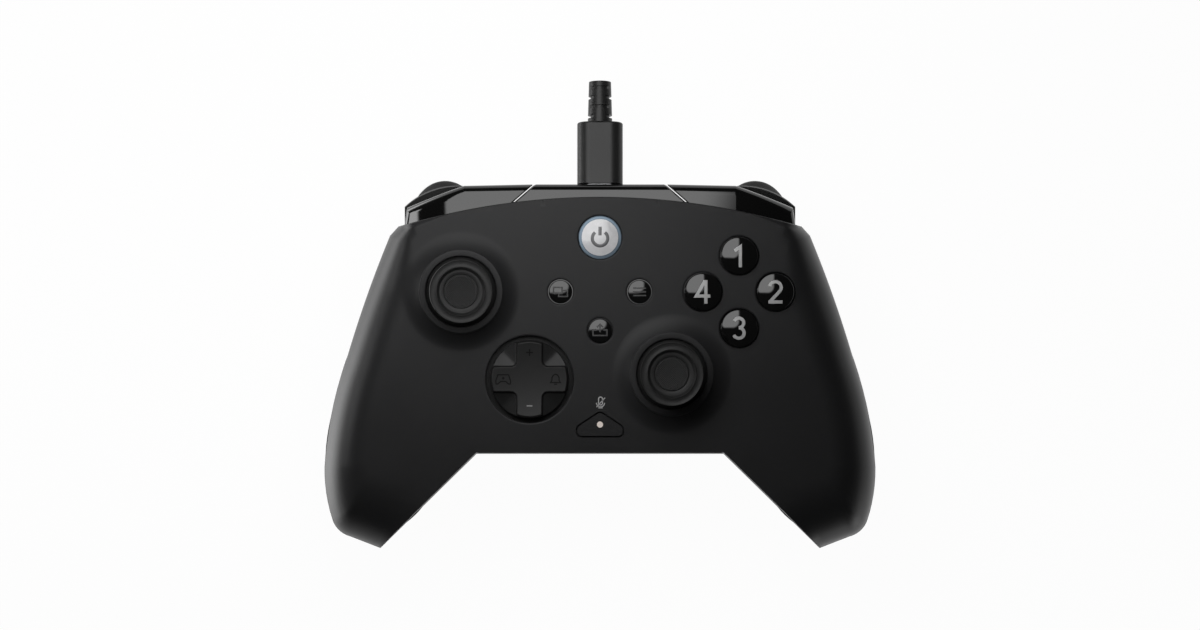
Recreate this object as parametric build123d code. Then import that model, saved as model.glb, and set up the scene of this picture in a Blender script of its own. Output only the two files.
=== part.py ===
from build123d import *
import os
from math import asin, cos, degrees, hypot, radians, sqrt

# Wired gamepad, in millimetres. +Z points out of the face, +Y to the cable, +X to the player's right.
# The origin is under the middle of the box round the whole pad, on the surface that it stands on.

# Shared
wall = 2.0
cut_overrun = 10.0
seam_gap = 0.3
running_gap = 0.05
button_gap = 0.22
lip_round = 0.35

# Casing outline, right half, seen from the front: sizes, and shares of the half width
half_width = 77.4
top_edge_y = 33.1
corner_x = 54.8
corner_y = 25.3
shoulder_x = 57.9
shoulder_y = 24.0
flank_x_share = 0.9225
flank_y = -12.9
waist_x_share = 0.9767
waist_y = -28.7
widest_y = -43.0
calf_x_share = 0.9935
calf_y = -50.4
heel_x_share = 0.9716
heel_y = -57.6
heel_bend_x_share = 0.9483
heel_bend_y = -60.6
heel_low_x_share = 0.907
heel_low_y = -62.4
tip_x_share = 0.7972
tip_y = -65.7
notch_x_share = 0.4483
notch_y = -39.2

# How much of the side's and of the tip's rounding each outline point takes
heel_low_shares = (0.5, 1.0)
heel_bend_shares = (0.75, 0.95)
heel_shares = (0.95, 0.85)
calf_shares = (1.0, 0.62)
widest_shares = (1.0, 0.4)
waist_shares = (1.0, 0.12)
flank_shares = (1.0, 0.0)
shoulder_side_share = 0.36
corner_side_share = 0.14

# Casing heights and how far its edges round over
face_z = 46.0
parting_z = 27.0
front_side_round = 11.0
front_tip_fall = 20.0
front_top_round = 1.6
front_low_round = 0.7
pan_depth = 13.0
rear_side_round = 9.0
rear_tip_fall = 12.0
rear_top_round = 4.0
rear_low_round = 7.0

# Rows: shares of the height, side, tip, top and low rounding
front_level_shares = (
    (0.0, 0.0, 0.0, 0.0, 0.0),
    (0.3, 0.035, 0.05, 0.05, 0.05),
    (0.55, 0.12, 0.15, 0.12, 0.12),
    (0.75, 0.26, 0.3, 0.24, 0.24),
    (0.88, 0.44, 0.49, 0.4, 0.4),
    (0.955, 0.64, 0.68, 0.6, 0.6),
    (0.988, 0.83, 0.85, 0.8, 0.8),
    (1.0, 1.0, 1.0, 1.0, 1.0),
)
pan_level_shares = (
    (0.0, 0.0, 0.0, 0.0, 0.0),
    (0.35, 0.12, 0.15, 0.1, 0.15),
    (0.7, 0.4, 0.45, 0.35, 0.4),
    (0.92, 0.72, 0.76, 0.7, 0.72),
    (1.0, 1.0, 1.0, 1.0, 1.0),
)

# Grips under the parting line
grip_top_y = 22.0
grip_end_y = -64.4
# Rows: shares of the way down the grip, of the half width to the outer and inner side, and of the depth
grip_station_shares = (
    (0.0, 0.755, 0.6, 0.35),
    (0.16, 0.826, 0.622, 0.62),
    (0.35, 0.899, 0.632, 0.83),
    (0.55, 0.966, 0.62, 0.955),
    (0.72, 0.997, 0.6, 1.0),
    (0.86, 0.985, 0.629, 0.87),
    (0.95, 0.94, 0.731, 0.6),
    (1.0, 0.82, 0.79, 0.3),
)

# Middle bulge of the back
bulge_width = 74.0
bulge_length = 54.0
bulge_y = -2.0
bulge_round = 12.0
bulge_root_z = 16.0
# Rows: shares of the bulge's height down from its root, and of its width and length lost
bulge_level_shares = (
    (0.0, 0.0),
    (0.4, 0.08),
    (0.75, 0.18),
    (0.94, 0.29),
    (1.0, 0.38),
)

# Top bay that holds the bumpers
bay_tuck = 6.0
bay_half = 55.6
bay_floor_z = 31.2
trigger_bay_x = 38.1
bay_wall = 1.4

# Sticks
left_stick_x = -39.1
left_stick_y = 6.4
right_stick_x = 20.2
right_stick_y = -16.8
stick_pivot_depth = 9.5
stick_top_rise = 14.0
collar_radius = 11.85
collar_rise = 2.7
collar_bore = 9.95
mound_radius = 15.5
mound_rise = 2.2
mound_knee_share = 0.45
mound_knee_rise_share = 0.34
mound_slope_share = 0.8
dome_radius = 14.5
dome_wall = 1.4
dome_gap = 0.35
dome_reach = 68.0
neck_radius = 3.6
cap_radius = 8.9
cap_thickness = 4.4
shaft_radius = 1.9
shaft_fit = 0.03
# Rows: shares of the cap's radius and of its thickness, up from its underside
cap_profile_shares = (
    (0.42, -0.4),
    (0.93, 0.0),
    (1.0, 0.12),
    (1.0, 0.72),
    (0.97, 0.94),
    (0.92, 1.0),
    (0.8, 0.97),
    (0.76, 0.92),
    (0.69, 0.8),
    (0.66, 0.77),
    (0.55, 0.78),
    (0.53, 0.7),
    (0.51, 0.7),
    (0.49, 0.76),
)

# Stick module
module_half = 7.8
module_wall = 0.8
module_depth = 8.0
module_rise = 4.6
module_mouth = 5.6
yoke_half = 5.9
yoke_window = 4.3
yoke_thickness = 3.0
yoke_pin = 1.0
swivel_half_x = 3.5
swivel_half_y = 4.0
swivel_thickness = 4.0
swivel_pin = 0.9
spring_radius = 4.2
spring_wire = 0.9
spring_height = 2.6
sensor_width = 9.0
sensor_thickness = 3.0
click_box = 4.0

# Directional pad
pad_x = -19.8
pad_y = -18.3
pad_hole = 12.25
pad_radius = 11.05
pad_cross_width = 7.0
pad_cross_rise = 1.2
pad_rim_width = 0.9
pad_dish = 1.6
pad_flange = 13.3
pad_flange_thickness = 1.0
pad_flange_drop = 4.0
pad_ball = 2.0
pad_ball_drop = 6.0
pad_post = 2.4
pad_post_foot = 3.2
pad_cup_drop = 0.5
pad_socket_rise = 0.3
pad_socket_wall = 2.0
pad_foot_circle = 7.8
pad_foot = 1.4
pad_rim_rise = 0.2
pad_cross_corner = 1.7
pad_hollow_radius = 70.0
dome_base_share = 1.35

# Face buttons
cluster_x = 39.1
cluster_y = 6.3
cluster_pitch = 10.2
face_button_radius = 5.25
face_button_rise = 2.6
face_button_crown = 1.1
face_button_travel = 1.3
flange_width = 0.95
flange_thickness = 1.0
flange_gap = 0.3
button_foot_share = 0.62

# Small buttons
view_x = -11.1
small_button_y = 6.3
share_y = -4.6
small_button_radius = 3.3
small_button_rise = 0.9
small_button_crown = 0.35
small_travel = 0.7
guide_dome_share = 0.7
mat_centre_share = 0.8

# Guide button
guide_y = 21.6
guide_lens_radius = 5.15
guide_radius = 5.87
guide_rise = 0.8
guide_crown = 0.7
guide_lens_depth = 2.2

# Microphone button and its light
mic_half_width = 6.35
mic_apex_y = -27.5
mic_base_y = -34.2
mic_corner_round = 1.2
mic_shoulder_drop = 4.2
mic_gap = 0.4
mic_rise = 0.5
mic_flange = 0.8
mic_light_y = -31.0
mic_light_radius = 0.86
mic_board_z = 36.0
mic_switch_height = 1.4
mic_travel = 0.4
small_board_thickness = 1.0

# Main board
board_thickness = 1.6
board_half_width = 54.0
board_wide_low_y = -14.0
board_wide_top_y = 17.0
board_half_low = 30.0
board_low_y = -36.0
board_half_top = 30.0
board_top_y = 21.5
board_tongue_half = 7.0
board_tongue_y = 25.3
mat_thickness = 0.8
dome_height = 2.4
dome_touch = 0.1
chip_x = 2.5
chip_y = -16.0
chip_size = 8.0
small_chip_x = 12.0
small_chip_low_y = -4.6
small_chip_high_y = 13.8
small_chip_size = 4.0
chip_height = 1.2

# Screws and their posts
low_screw_x = 33.0
low_screw_y = -31.0
top_screw_x = 24.0
top_screw_y = 17.6
grip_screw_x_share = 0.8527
grip_screw_y = -54.5
boss_radius = 2.9
column_radius = 4.2
screw_shank = 1.2
screw_head = 2.5
screw_head_height = 2.0
screw_length = 16.0
screw_seat_z = 18.0
screw_play = 0.3
socket_radius = 1.1
board_post_radius = 2.6
board_screw_x = 50.8
board_screw_y = -8.0
board_screw_top_x = 10.0
board_screw_top_y = 19.0
board_screw_shank = 0.9
board_screw_head = 1.7

# Bumpers and the bridge between them
bumper_bottom_z = 33.2
bumper_drop = 2.4
bumper_front_y = 36.5
bumper_round = 2.6
split_x = 18.5
split_slope = 1.15
split_gap = 0.35
split_edge = 0.35
bumper_bend_x = 38.2
bumper_bend_y = 36.1
bumper_mid_x = 47.7
bumper_mid_y = 32.6
bumper_end_x = 54.2
bumper_end_y = 29.9
bumper_side_x = 54.9
bumper_crown_radius = 26.0
bumper_tuck = 4.2
bumper_wall = 1.8
hinge_x = 32.0
hinge_y = 28.6
hinge_radius = 1.25
hinge_lug = 2.8
hinge_roof = 0.7
floor_thickness = 1.4
switch_width = 6.0
switch_tall = 4.0
switch_x = 50.0
switch_z = 35.5
switch_stand = 0.3
switch_plunger = 0.8
plunger_reach = 0.25

# Triggers
trigger_inner_x = 38.6
trigger_outer_x = 54.8
trigger_top_z = 31.8
trigger_low_z = 3.4
trigger_front_y = 37.4
trigger_back_y = 23.8
trigger_wall = 1.8
pivot_y = 26.8
pivot_z = 26.2
pin_radius = 1.5
ear_width = 5.4
ear_radius = 3.2
ear_play = 1.2
spring_sleeve = 2.5
magnet_radius = 1.6
magnet_length = 2.0
# Rows: shares of the height below the top, of the width at the outer side,
# and of the depth from back to front at the back, inner corner, middle and outer corner
trigger_level_shares = (
    (0.0, 1.0, 0.0, 0.885, 0.805, 0.455),
    (0.07, 1.0, 0.01, 0.905, 0.825, 0.475),
    (0.22, 1.0, 0.05, 0.87, 0.81, 0.47),
    (0.48, 0.93, 0.26, 0.71, 0.73, 0.43),
    (0.73, 0.83, 0.41, 0.71, 0.79, 0.52),
    (0.89, 0.76, 0.54, 0.85, 0.95, 0.71),
    (0.97, 0.71, 0.66, 0.89, 1.0, 0.76),
    (1.0, 0.66, 0.74, 0.88, 0.96, 0.8),
)

# Back buttons
back_button_x = 42.5
back_button_y = -6.0
back_button_length = 19.0
back_button_width = 8.0
back_button_rise = 1.6
back_button_travel = 0.8
back_switch_height = 3.4

# Vibration motors
motor_x_share = 0.788
motor_z = 19.0
motor_front_y = -22.0
motor_length = 16.0
motor_radius = 8.5
motor_shaft = 1.0
weight_radius = 7.4
weight_length = 6.0
weight_gap = 1.6
weight_hub = 2.6
cradle_thickness = 1.6
cradle_shares = (0.2, 0.8)
cradle_gap = 0.25

# Headset socket
jack_radius = 1.8
jack_depth = 14.0
jack_half_width = 4.2
jack_height = 6.0
jack_nose = 3.1

# Cable plug: it dips away from the face
plug_dip = 10.0
port_y = 36.4
port_z = 36.4
plug_width = 12.8
plug_height = 7.0
plug_length = 17.6
plug_edge_round = 0.5
relief_radius = 3.45
relief_end_radius = 3.1
relief_length = 11.6
relief_slot = 0.95
relief_pitch = 2.7
relief_first = 1.15
relief_web = 3.6
relief_count = 4
relief_core = 0.6
cord_bore = 2.05
tip_width = 8.3
tip_height = 2.5
tip_length = 6.4
tip_wall = 0.35
port_play = 0.12
port_gap = 0.5
port_depth = 7.6
port_back = 0.8
tongue_width = 6.6
tongue_thickness = 0.7
port_board_half = 8.0
port_board_length = 8.2
port_board_thickness = 1.0
shelf_rib = 1.5
plug_mark_radius = 0.5
plug_mark_depth = 0.15

# Worked out from the sizes above
flank_x = half_width * flank_x_share
waist_x = half_width * waist_x_share
calf_x = half_width * calf_x_share
heel_x = half_width * heel_x_share
heel_bend_x = half_width * heel_bend_x_share
heel_low_x = half_width * heel_low_x_share
tip_x = half_width * tip_x_share
notch_x = half_width * notch_x_share
grip_screw_x = half_width * grip_screw_x_share
motor_x = half_width * motor_x_share
face_inner_z = face_z - wall
front_depth = face_z - parting_z - seam_gap
stick_pivot_z = face_z - stick_pivot_depth
board_z = stick_pivot_z - module_depth
button_foot_z = board_z + mat_thickness + dome_height + dome_touch
bumper_top_z = face_z - bumper_drop
hinge_top_z = bumper_top_z - bumper_wall - hinge_roof
port_place = Pos(0, port_y, port_z) * Rot(-plug_dip, 0, 0)
edge_radius = (corner_x**2 + (top_edge_y - corner_y) ** 2) / (top_edge_y - corner_y) / 2
edge_centre_y = top_edge_y - edge_radius
low_align = (Align.CENTER, Align.CENTER, Align.MIN)
corner_align = (Align.MIN, Align.MIN, Align.MIN)
sides = (-1, 1)


def post(x, y, low, high, radius):
    return Pos(x, y, low) * Cylinder(radius, high - low, align=low_align)


def block(x_low, x_high, y_low, y_high, z_low, z_high):
    size = (x_high - x_low, y_high - y_low, z_high - z_low)
    return Pos(x_low, y_low, z_low) * Box(*size, align=corner_align)


def across(x_low, x_high, y, z, radius):
    """Round bar along X."""
    return Pos(x_low, y, z) * Rot(0, 90, 0) * Cylinder(radius, x_high - x_low, align=low_align)


def along(x, y_low, y_high, z, radius):
    """Round bar along Y."""
    return Pos(x, y_high, z) * Rot(90, 0, 0) * Cylinder(radius, y_high - y_low, align=low_align)


def flipped(shape):
    return mirror(shape, about=Plane.YZ)


def both(shape):
    """A shape and its mirror image, as one group."""
    return Compound(children=[*shape.solids(), *flipped(shape).solids()])


def turned(points):
    """Solid of revolution about Z of an (r, z) outline."""
    with BuildPart() as made:
        with BuildSketch(Plane.XZ):
            with BuildLine():
                Polyline(*points, close=True)
            make_face()
        revolve(axis=Axis.Z)
    return made.part


def prism(face_sketch, low, high):
    return extrude(Pos(0, 0, low) * face_sketch, amount=high - low)


def edge_y(x, out=0.0):
    """Height of the face's top edge arc at x, moved out by a distance."""
    return edge_centre_y + sqrt((edge_radius + out) ** 2 - x**2)


# Casing


def casing_outline(side, shoulder_side, corner_side, tip, top, low):
    """Closed plan outline with its sides, grip tips, top edge and lower edges moved in."""
    run_x = tip_x - notch_x
    run_y = tip_y - notch_y
    run = hypot(run_x, run_y)
    normal_x = -run_y / run
    normal_y = run_x / run
    slide = (low - low * normal_y) / run_y
    notch = (notch_x + low * normal_x + slide * run_x, notch_y + low)
    shift_x = -run_x / run * tip
    shift_y = -run_y / run * tip
    point = (tip_x + shift_x + low * normal_x, tip_y + shift_y + low * normal_y)

    def moved(x, y, side_share, tip_share):
        return (x - side * side_share + shift_x * tip_share / 3, y + shift_y * tip_share)

    heel_low = moved(heel_low_x, heel_low_y, *heel_low_shares)
    heel_bend = moved(heel_bend_x, heel_bend_y, *heel_bend_shares)
    heel = moved(heel_x, heel_y, *heel_shares)
    calf = moved(calf_x, calf_y, *calf_shares)
    widest = moved(half_width, widest_y, *widest_shares)
    waist = moved(waist_x, waist_y, *waist_shares)
    flank = moved(flank_x, flank_y, *flank_shares)
    shoulder = (shoulder_x - shoulder_side, shoulder_y - top)
    corner = (corner_x - corner_side, edge_y(corner_x - corner_side, -top))

    def other(place):
        return (-place[0], place[1])

    with BuildSketch() as made:
        with BuildLine():
            ThreePointArc(other(corner), (0, top_edge_y - top), corner)
            Line(corner, shoulder)
            Line(shoulder, flank)
            ThreePointArc(flank, waist, widest)
            ThreePointArc(widest, calf, heel)
            ThreePointArc(heel, heel_bend, heel_low)
            Line(heel_low, point)
            Line(point, notch)
            Line(notch, other(notch))
            Line(other(notch), other(point))
            Line(other(point), other(heel_low))
            ThreePointArc(other(heel_low), other(heel_bend), other(heel))
            ThreePointArc(other(heel), other(calf), other(widest))
            ThreePointArc(other(widest), other(waist), other(flank))
            Line(other(flank), other(shoulder))
            Line(other(shoulder), other(corner))
        make_face()
    return made.sketch.face()


def casing_loft(start_z, depth, rounds, level_shares, inset):
    """Casing body from the parting plane to a flat, with edges that round over."""
    side, tip, top, low = rounds
    sections = []
    for height, side_share, tip_share, top_share, low_share in level_shares:
        outline = casing_outline(
            side * side_share + inset,
            side * side_share * shoulder_side_share + inset,
            side * side_share * corner_side_share + inset,
            tip * tip_share + inset,
            top * top_share + inset,
            low * low_share + inset,
        )
        sections.append(Pos(0, 0, start_z + depth * height) * outline)
    return loft(sections)


def front_body(inset):
    rounds = (front_side_round, front_tip_fall, front_top_round, front_low_round)
    return casing_loft(parting_z + seam_gap, front_depth - inset, rounds, front_level_shares, seam_gap + inset)


def pan_body(inset):
    rounds = (rear_side_round, rear_tip_fall, rear_top_round, rear_low_round)
    return casing_loft(parting_z, inset - pan_depth, rounds, pan_level_shares, inset)


def grip_body(inset):
    """Right grip below the parting plane: half ellipses along Y."""
    sections = []
    rows = grip_station_shares[:-1] if inset else grip_station_shares
    for way, outer, inner, depth in rows:
        y = grip_top_y + (grip_end_y - grip_top_y) * way
        half = half_width * (outer - inner) / 2 - inset
        x = half_width * (outer + inner) / 2
        drop = parting_z * depth - inset
        with BuildSketch(Plane(origin=(x, y, parting_z), x_dir=(1, 0, 0), z_dir=(0, -1, 0))) as made:
            with BuildLine():
                Line((-half, 0), (half, 0))
                EllipticalCenterArc((0, 0), half, drop, start_angle=-90, arc_size=90)
                EllipticalCenterArc((0, 0), half, drop, start_angle=-180, arc_size=90)
            make_face()
        sections.append(made.sketch.face())
    return loft(sections)


def bulge_body(inset):
    """Middle bulge of the back, from its root down to the flat that it stands on."""
    sections = []
    for drop, lost in bulge_level_shares:
        width = bulge_width - 2 * inset - bulge_length * lost
        length = bulge_length - 2 * inset - bulge_length * lost
        corner = (bulge_round - inset) * (1 - lost)
        outline = RectangleRounded(width, length, corner)
        sections.append(Pos(0, bulge_y, bulge_root_z - (bulge_root_z - inset) * drop) * outline.face())
    return loft(sections)


def rear_body(inset):
    grip = grip_body(inset)
    return pan_body(inset) + grip + flipped(grip) + bulge_body(inset)


def bay_outline(out, half):
    """Everything above the face's top edge arc, moved out by a distance, within a half width."""
    with BuildSketch() as made:
        with BuildLine():
            ThreePointArc((-half, edge_y(half, out)), (0, edge_y(0, out)), (half, edge_y(half, out)))
            Line((half, edge_y(half, out)), (half, top_edge_y + cut_overrun))
            Line((half, top_edge_y + cut_overrun), (-half, top_edge_y + cut_overrun))
            Line((-half, top_edge_y + cut_overrun), (-half, edge_y(half, out)))
        make_face()
    return made.sketch


def trigger_bays(out, side_gap, low, high):
    """The two spaces that the triggers swing in."""
    both_bays = prism(bay_outline(out, bay_half + cut_overrun), low, high)
    middle = trigger_bay_x + side_gap
    return both_bays - block(-middle, middle, 0, top_edge_y + cut_overrun + wall, low - wall, high + wall)


def hole_cutter(x, y, radius):
    """Round hole through the face with a rounded lip."""
    bore = post(x, y, face_inner_z - wall, face_z + cut_overrun, radius)
    flare = turned(
        [
            (0, face_z - lip_round),
            (radius, face_z - lip_round),
            (radius + lip_round / 3, face_z - lip_round / 3),
            (radius + lip_round, face_z),
            (radius + lip_round, face_z + lip_round),
            (0, face_z + lip_round),
        ]
    )
    return bore + Pos(x, y, 0) * flare


stick_places = ((left_stick_x, left_stick_y), (right_stick_x, right_stick_y))
face_button_places = {
    "top": (cluster_x, cluster_y + cluster_pitch),
    "left": (cluster_x - cluster_pitch, cluster_y),
    "right": (cluster_x + cluster_pitch, cluster_y),
    "bottom": (cluster_x, cluster_y - cluster_pitch),
}
small_button_places = {
    "view": (view_x, small_button_y),
    "menu": (-view_x, small_button_y),
    "share": (0, share_y),
}
case_screw_places = [
    (side * x, y)
    for side in sides
    for x, y in ((low_screw_x, low_screw_y), (top_screw_x, top_screw_y), (grip_screw_x, grip_screw_y))
]
board_screw_places = [
    (side * x, y)
    for side in sides
    for x, y in ((board_screw_x, board_screw_y), (board_screw_top_x, board_screw_top_y))
]


def mic_outline(grow):
    """Rounded house-shaped outline of the microphone button."""
    half = mic_half_width
    eave_y = mic_apex_y - mic_shoulder_drop
    points = [
        (-half, mic_base_y),
        (half, mic_base_y),
        (half, eave_y),
        (0, mic_apex_y),
        (-half, eave_y),
    ]
    with BuildSketch() as made:
        with BuildLine():
            Polyline(*points, close=True)
        make_face()
        fillet(made.vertices(), mic_corner_round)
    outline = made.sketch
    return offset(outline, grow) if grow else outline


def stick_mound(x, y):
    """Collar round a stick on a mound that runs out into the face."""
    rise = mound_rise
    flare = mound_radius - collar_radius
    with BuildPart() as made:
        with BuildSketch(Plane.XZ):
            with BuildLine():
                Line((0, face_inner_z), (mound_radius, face_inner_z))
                Line((mound_radius, face_inner_z), (mound_radius, face_z))
                Spline(
                    (mound_radius, face_z),
                    (collar_radius + flare * mound_knee_share, face_z + rise * mound_knee_rise_share),
                    (collar_radius, face_z + rise),
                    tangents=[(-1, 0), (-1, mound_slope_share)],
                )
                Line((collar_radius, face_z + rise), (collar_radius, face_z + collar_rise - lip_round))
                Line(
                    (collar_radius, face_z + collar_rise - lip_round),
                    (collar_radius - lip_round, face_z + collar_rise),
                )
                Line((collar_radius - lip_round, face_z + collar_rise), (0, face_z + collar_rise))
                Line((0, face_z + collar_rise), (0, face_inner_z))
            make_face()
        revolve(axis=Axis.Z)
    return Pos(x, y, 0) * made.part


def make_front_shell():
    shell = front_body(0) - front_body(wall)
    for x, y in stick_places:
        shell = shell + stick_mound(x, y)
    for x, y in case_screw_places:
        boss = post(x, y, parting_z + seam_gap, face_z, boss_radius) & front_body(wall / 2)
        shell = shell + boss
    mic_post_x = mic_half_width + boss_radius
    for side in sides:
        mic_post = post(side * mic_post_x, mic_light_y, mic_board_z + small_board_thickness, face_inner_z, wall / 2)
        shell = shell + mic_post
    shell = shell - prism(bay_outline(-bay_tuck, bumper_side_x + seam_gap), parting_z - wall, face_inner_z)
    for x, y in stick_places:
        shell = shell - Pos(x, y, stick_pivot_z) * Sphere(dome_radius + dome_gap)
        shell = shell - post(x, y, stick_pivot_z, face_z + cut_overrun, collar_bore)
    shell = shell - hole_cutter(pad_x, pad_y, pad_hole)
    for x, y in face_button_places.values():
        shell = shell - hole_cutter(x, y, face_button_radius + button_gap)
        shell = shell - post(x, y, face_inner_z - wall, face_inner_z, face_button_radius + flange_width + seam_gap)
    for x, y in small_button_places.values():
        shell = shell - hole_cutter(x, y, small_button_radius + button_gap)
    shell = shell - hole_cutter(0, guide_y, guide_radius + button_gap)
    shell = shell - prism(mic_outline(mic_gap), face_inner_z - wall, face_z + cut_overrun)
    for x, y in case_screw_places:
        depth = screw_seat_z + screw_length + wall
        shell = shell - post(x, y, parting_z - wall, depth, screw_shank + running_gap)
    jack_hole = along(0, notch_y - wall, notch_y + cut_overrun, board_z + jack_height / 2, jack_nose + button_gap)
    return shell - jack_hole


def make_rear_shell():
    outer = rear_body(0)
    inner = rear_body(wall)
    bay = trigger_bays(-bay_tuck, 0, -wall, parting_z + wall)
    bay_skin = trigger_bays(-bay_tuck - bay_wall, -bay_wall, -wall - wall, parting_z + wall + wall)
    shell = outer - (inner - bay_skin)
    columns = [post(x, y, 0, board_z - board_thickness, column_radius) for x, y in case_screw_places]
    columns += [post(x, y, 0, board_z - board_thickness, board_post_radius) for x, y in board_screw_places]
    for column in columns:
        shell = shell + (column & outer)
    shell = shell + (motor_cradles() & outer)
    for x, y in case_screw_places:
        shell = shell - post(x, y, -wall, screw_seat_z, screw_head + screw_play)
        shell = shell - post(x, y, -wall, parting_z + wall, screw_shank + screw_play)
    for x, y in board_screw_places:
        shell = shell - post(x, y, screw_seat_z, board_z, board_screw_shank + running_gap)
    for side in sides:
        outline = SlotOverall(back_button_length, back_button_width + 2 * button_gap, rotation=90)
        place = Pos(side * back_button_x, back_button_y, 0)
        shell = shell - place * prism(outline, 0, parting_z - pan_depth + wall + wall)
    below = block(-half_width, half_width, tip_y, top_edge_y, -wall, 0)
    return shell - bay - below


def motor_cradles():
    """Two ribs under each motor, shaped to its can."""
    ribs = []
    for side in sides:
        for share in cradle_shares:
            y = motor_front_y - motor_length * share
            low_x = side * motor_x - motor_radius - wall
            high_x = side * motor_x + motor_radius + wall
            rib = block(low_x, high_x, y - cradle_thickness / 2, y + cradle_thickness / 2, 0, motor_z - wall)
            space = along(side * motor_x, y - wall, y + wall, motor_z, motor_radius + cradle_gap)
            ribs.append(rib - space)
    return Compound(children=[solid for rib in ribs for solid in rib.solids()])


# Mid frame behind the bumpers


def wall_y(x):
    """Front face of the mid frame's wall."""
    return edge_y(x, -bay_tuck)


def make_mid_frame():
    low_z = parting_z + seam_gap
    high_z = face_inner_z - seam_gap
    half = bay_half - seam_gap
    frame = prism(bay_outline(-bay_tuck - bay_wall, half), low_z, high_z)
    frame = frame - prism(bay_outline(-bay_tuck, bay_half + wall), low_z - wall, high_z + wall)
    frame = frame & front_body(wall + seam_gap)
    floor_z = bay_floor_z + seam_gap
    floor_half = trigger_bay_x - seam_gap
    floor = prism(bay_outline(-bay_tuck - bay_wall / 2, floor_half), floor_z, floor_z + floor_thickness)
    floor = floor - prism(bay_outline(-seam_gap, half), floor_z - wall, floor_z + wall + wall)
    sill_space = block(-floor_half, floor_half, 0, top_edge_y, low_z, floor_z + floor_thickness / 2)
    sill_zone = prism(bay_outline(-bay_tuck, half), low_z, floor_z + wall)
    sill = (front_body(0) - front_body(wall)) & sill_space & sill_zone
    frame = frame + floor + sill
    ear_x = (trigger_inner_x + trigger_outer_x) / 2
    pin_hole = pin_radius + shaft_fit
    tab_half = boss_radius + bay_wall
    for side in sides:
        x_low = side * ear_x - ear_width / 2
        x_high = side * ear_x + ear_width / 2
        root_y = wall_y(trigger_outer_x) - bay_wall / 2
        ear = block(x_low, x_high, root_y, pivot_y, low_z + seam_gap, pivot_z + ear_radius)
        inside = block(x_low - wall, x_high + wall, 0, wall_y(ear_x) - bay_wall, low_z - wall, high_z)
        ear = (ear - inside) + across(x_low, x_high, pivot_y, pivot_z, ear_radius)
        frame = frame + ear
        frame = frame - across(x_low - wall, x_high + wall, pivot_y, pivot_z, pin_hole)
        frame = frame + post(side * hinge_x, hinge_y, floor_z, hinge_top_z, hinge_radius)
        tab_low_y = top_screw_y - tab_half
        tab_x = side * top_screw_x
        tab_back_y = wall_y(top_screw_x)
        tab = block(tab_x - tab_half, tab_x + tab_half, tab_low_y, tab_back_y, floor_z, floor_z + floor_thickness)
        frame = frame + tab
        frame = frame - post(tab_x, top_screw_y, floor_z - wall, floor_z + wall + wall, boss_radius + seam_gap)
        frame = frame - switch_block(side, running_gap)
        rib_x = side * (port_board_half - shelf_rib)
        rib_low_x = rib_x - shelf_rib / 2
        rib_y = wall_y(0) - bay_wall / 2
        rib = block(rib_low_x, rib_low_x + shelf_rib, rib_y, top_edge_y - wall, floor_z, port_z)
        frame = frame + (rib - port_place * port_board_space())
    guide_flange = guide_radius + flange_width + seam_gap
    flange_low_z = face_inner_z - flange_gap - flange_thickness - small_travel - seam_gap
    frame = frame - post(0, guide_y, flange_low_z, face_z, guide_flange)
    top_button_x, top_button_y = face_button_places["top"]
    face_flange_z = face_inner_z - flange_gap - flange_thickness - face_button_travel - seam_gap
    button_flange = face_button_radius + flange_width + seam_gap
    return frame - post(top_button_x, top_button_y, face_flange_z, face_z, button_flange)


def switch_place(side):
    """Middle of a bumper switch on the front of the wall, turned to lie along it."""
    slope = degrees(asin(switch_x / (edge_radius - bay_tuck)))
    return Pos(side * switch_x, wall_y(switch_x), 0) * Rot(0, 0, -side * slope)


def switch_block(side, grow):
    """Body of a bumper switch, set in a window of the mid frame."""
    half = switch_width / 2 + grow
    low = switch_z - switch_tall / 2 - grow
    body = block(-half, half, -bay_wall - grow, switch_stand, low, low + switch_tall + grow * 2)
    return switch_place(side) * body


def make_bumper_switches():
    made = []
    plunger = along(0, -bay_wall / 2, switch_stand + plunger_reach, switch_z, switch_plunger)
    for side in sides:
        made.append(switch_block(side, 0) + switch_place(side) * plunger)
    return made


# Bumpers and bridge


def bumper_outline(inset):
    """Plan outline of the right bumper, moved in by a distance."""
    split_run = hypot(1, split_slope)
    front_y = bumper_front_y - inset
    back_y = edge_y(bumper_side_x, -bumper_tuck)
    split_low_y = edge_y(hinge_x, -bumper_tuck) + inset
    split_shift = split_gap / 2 + inset * split_run
    front_inner = (split_x + split_shift + split_slope * inset, front_y)
    low_inner = (split_x + split_shift + split_slope * (bumper_front_y - split_low_y), split_low_y)
    low_outer = (bumper_side_x - inset, back_y + inset)
    low_mid_x = (low_inner[0] + low_outer[0]) / 2
    low_mid = (low_mid_x, edge_y(low_mid_x, -bumper_tuck) + inset)
    bend = (bumper_bend_x, bumper_bend_y - inset)
    middle = (bumper_mid_x - inset / 2, bumper_mid_y - inset)
    end = (bumper_end_x - inset, bumper_end_y - inset)
    side = (bumper_side_x - inset, back_y + (bumper_end_y - back_y) / 2)
    with BuildSketch() as made:
        with BuildLine():
            Line(front_inner, bend)
            ThreePointArc(bend, middle, end)
            Line(end, side)
            Line(side, low_outer)
            ThreePointArc(low_outer, low_mid, low_inner)
            Line(low_inner, front_inner)
        make_face()
    return made.sketch


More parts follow.
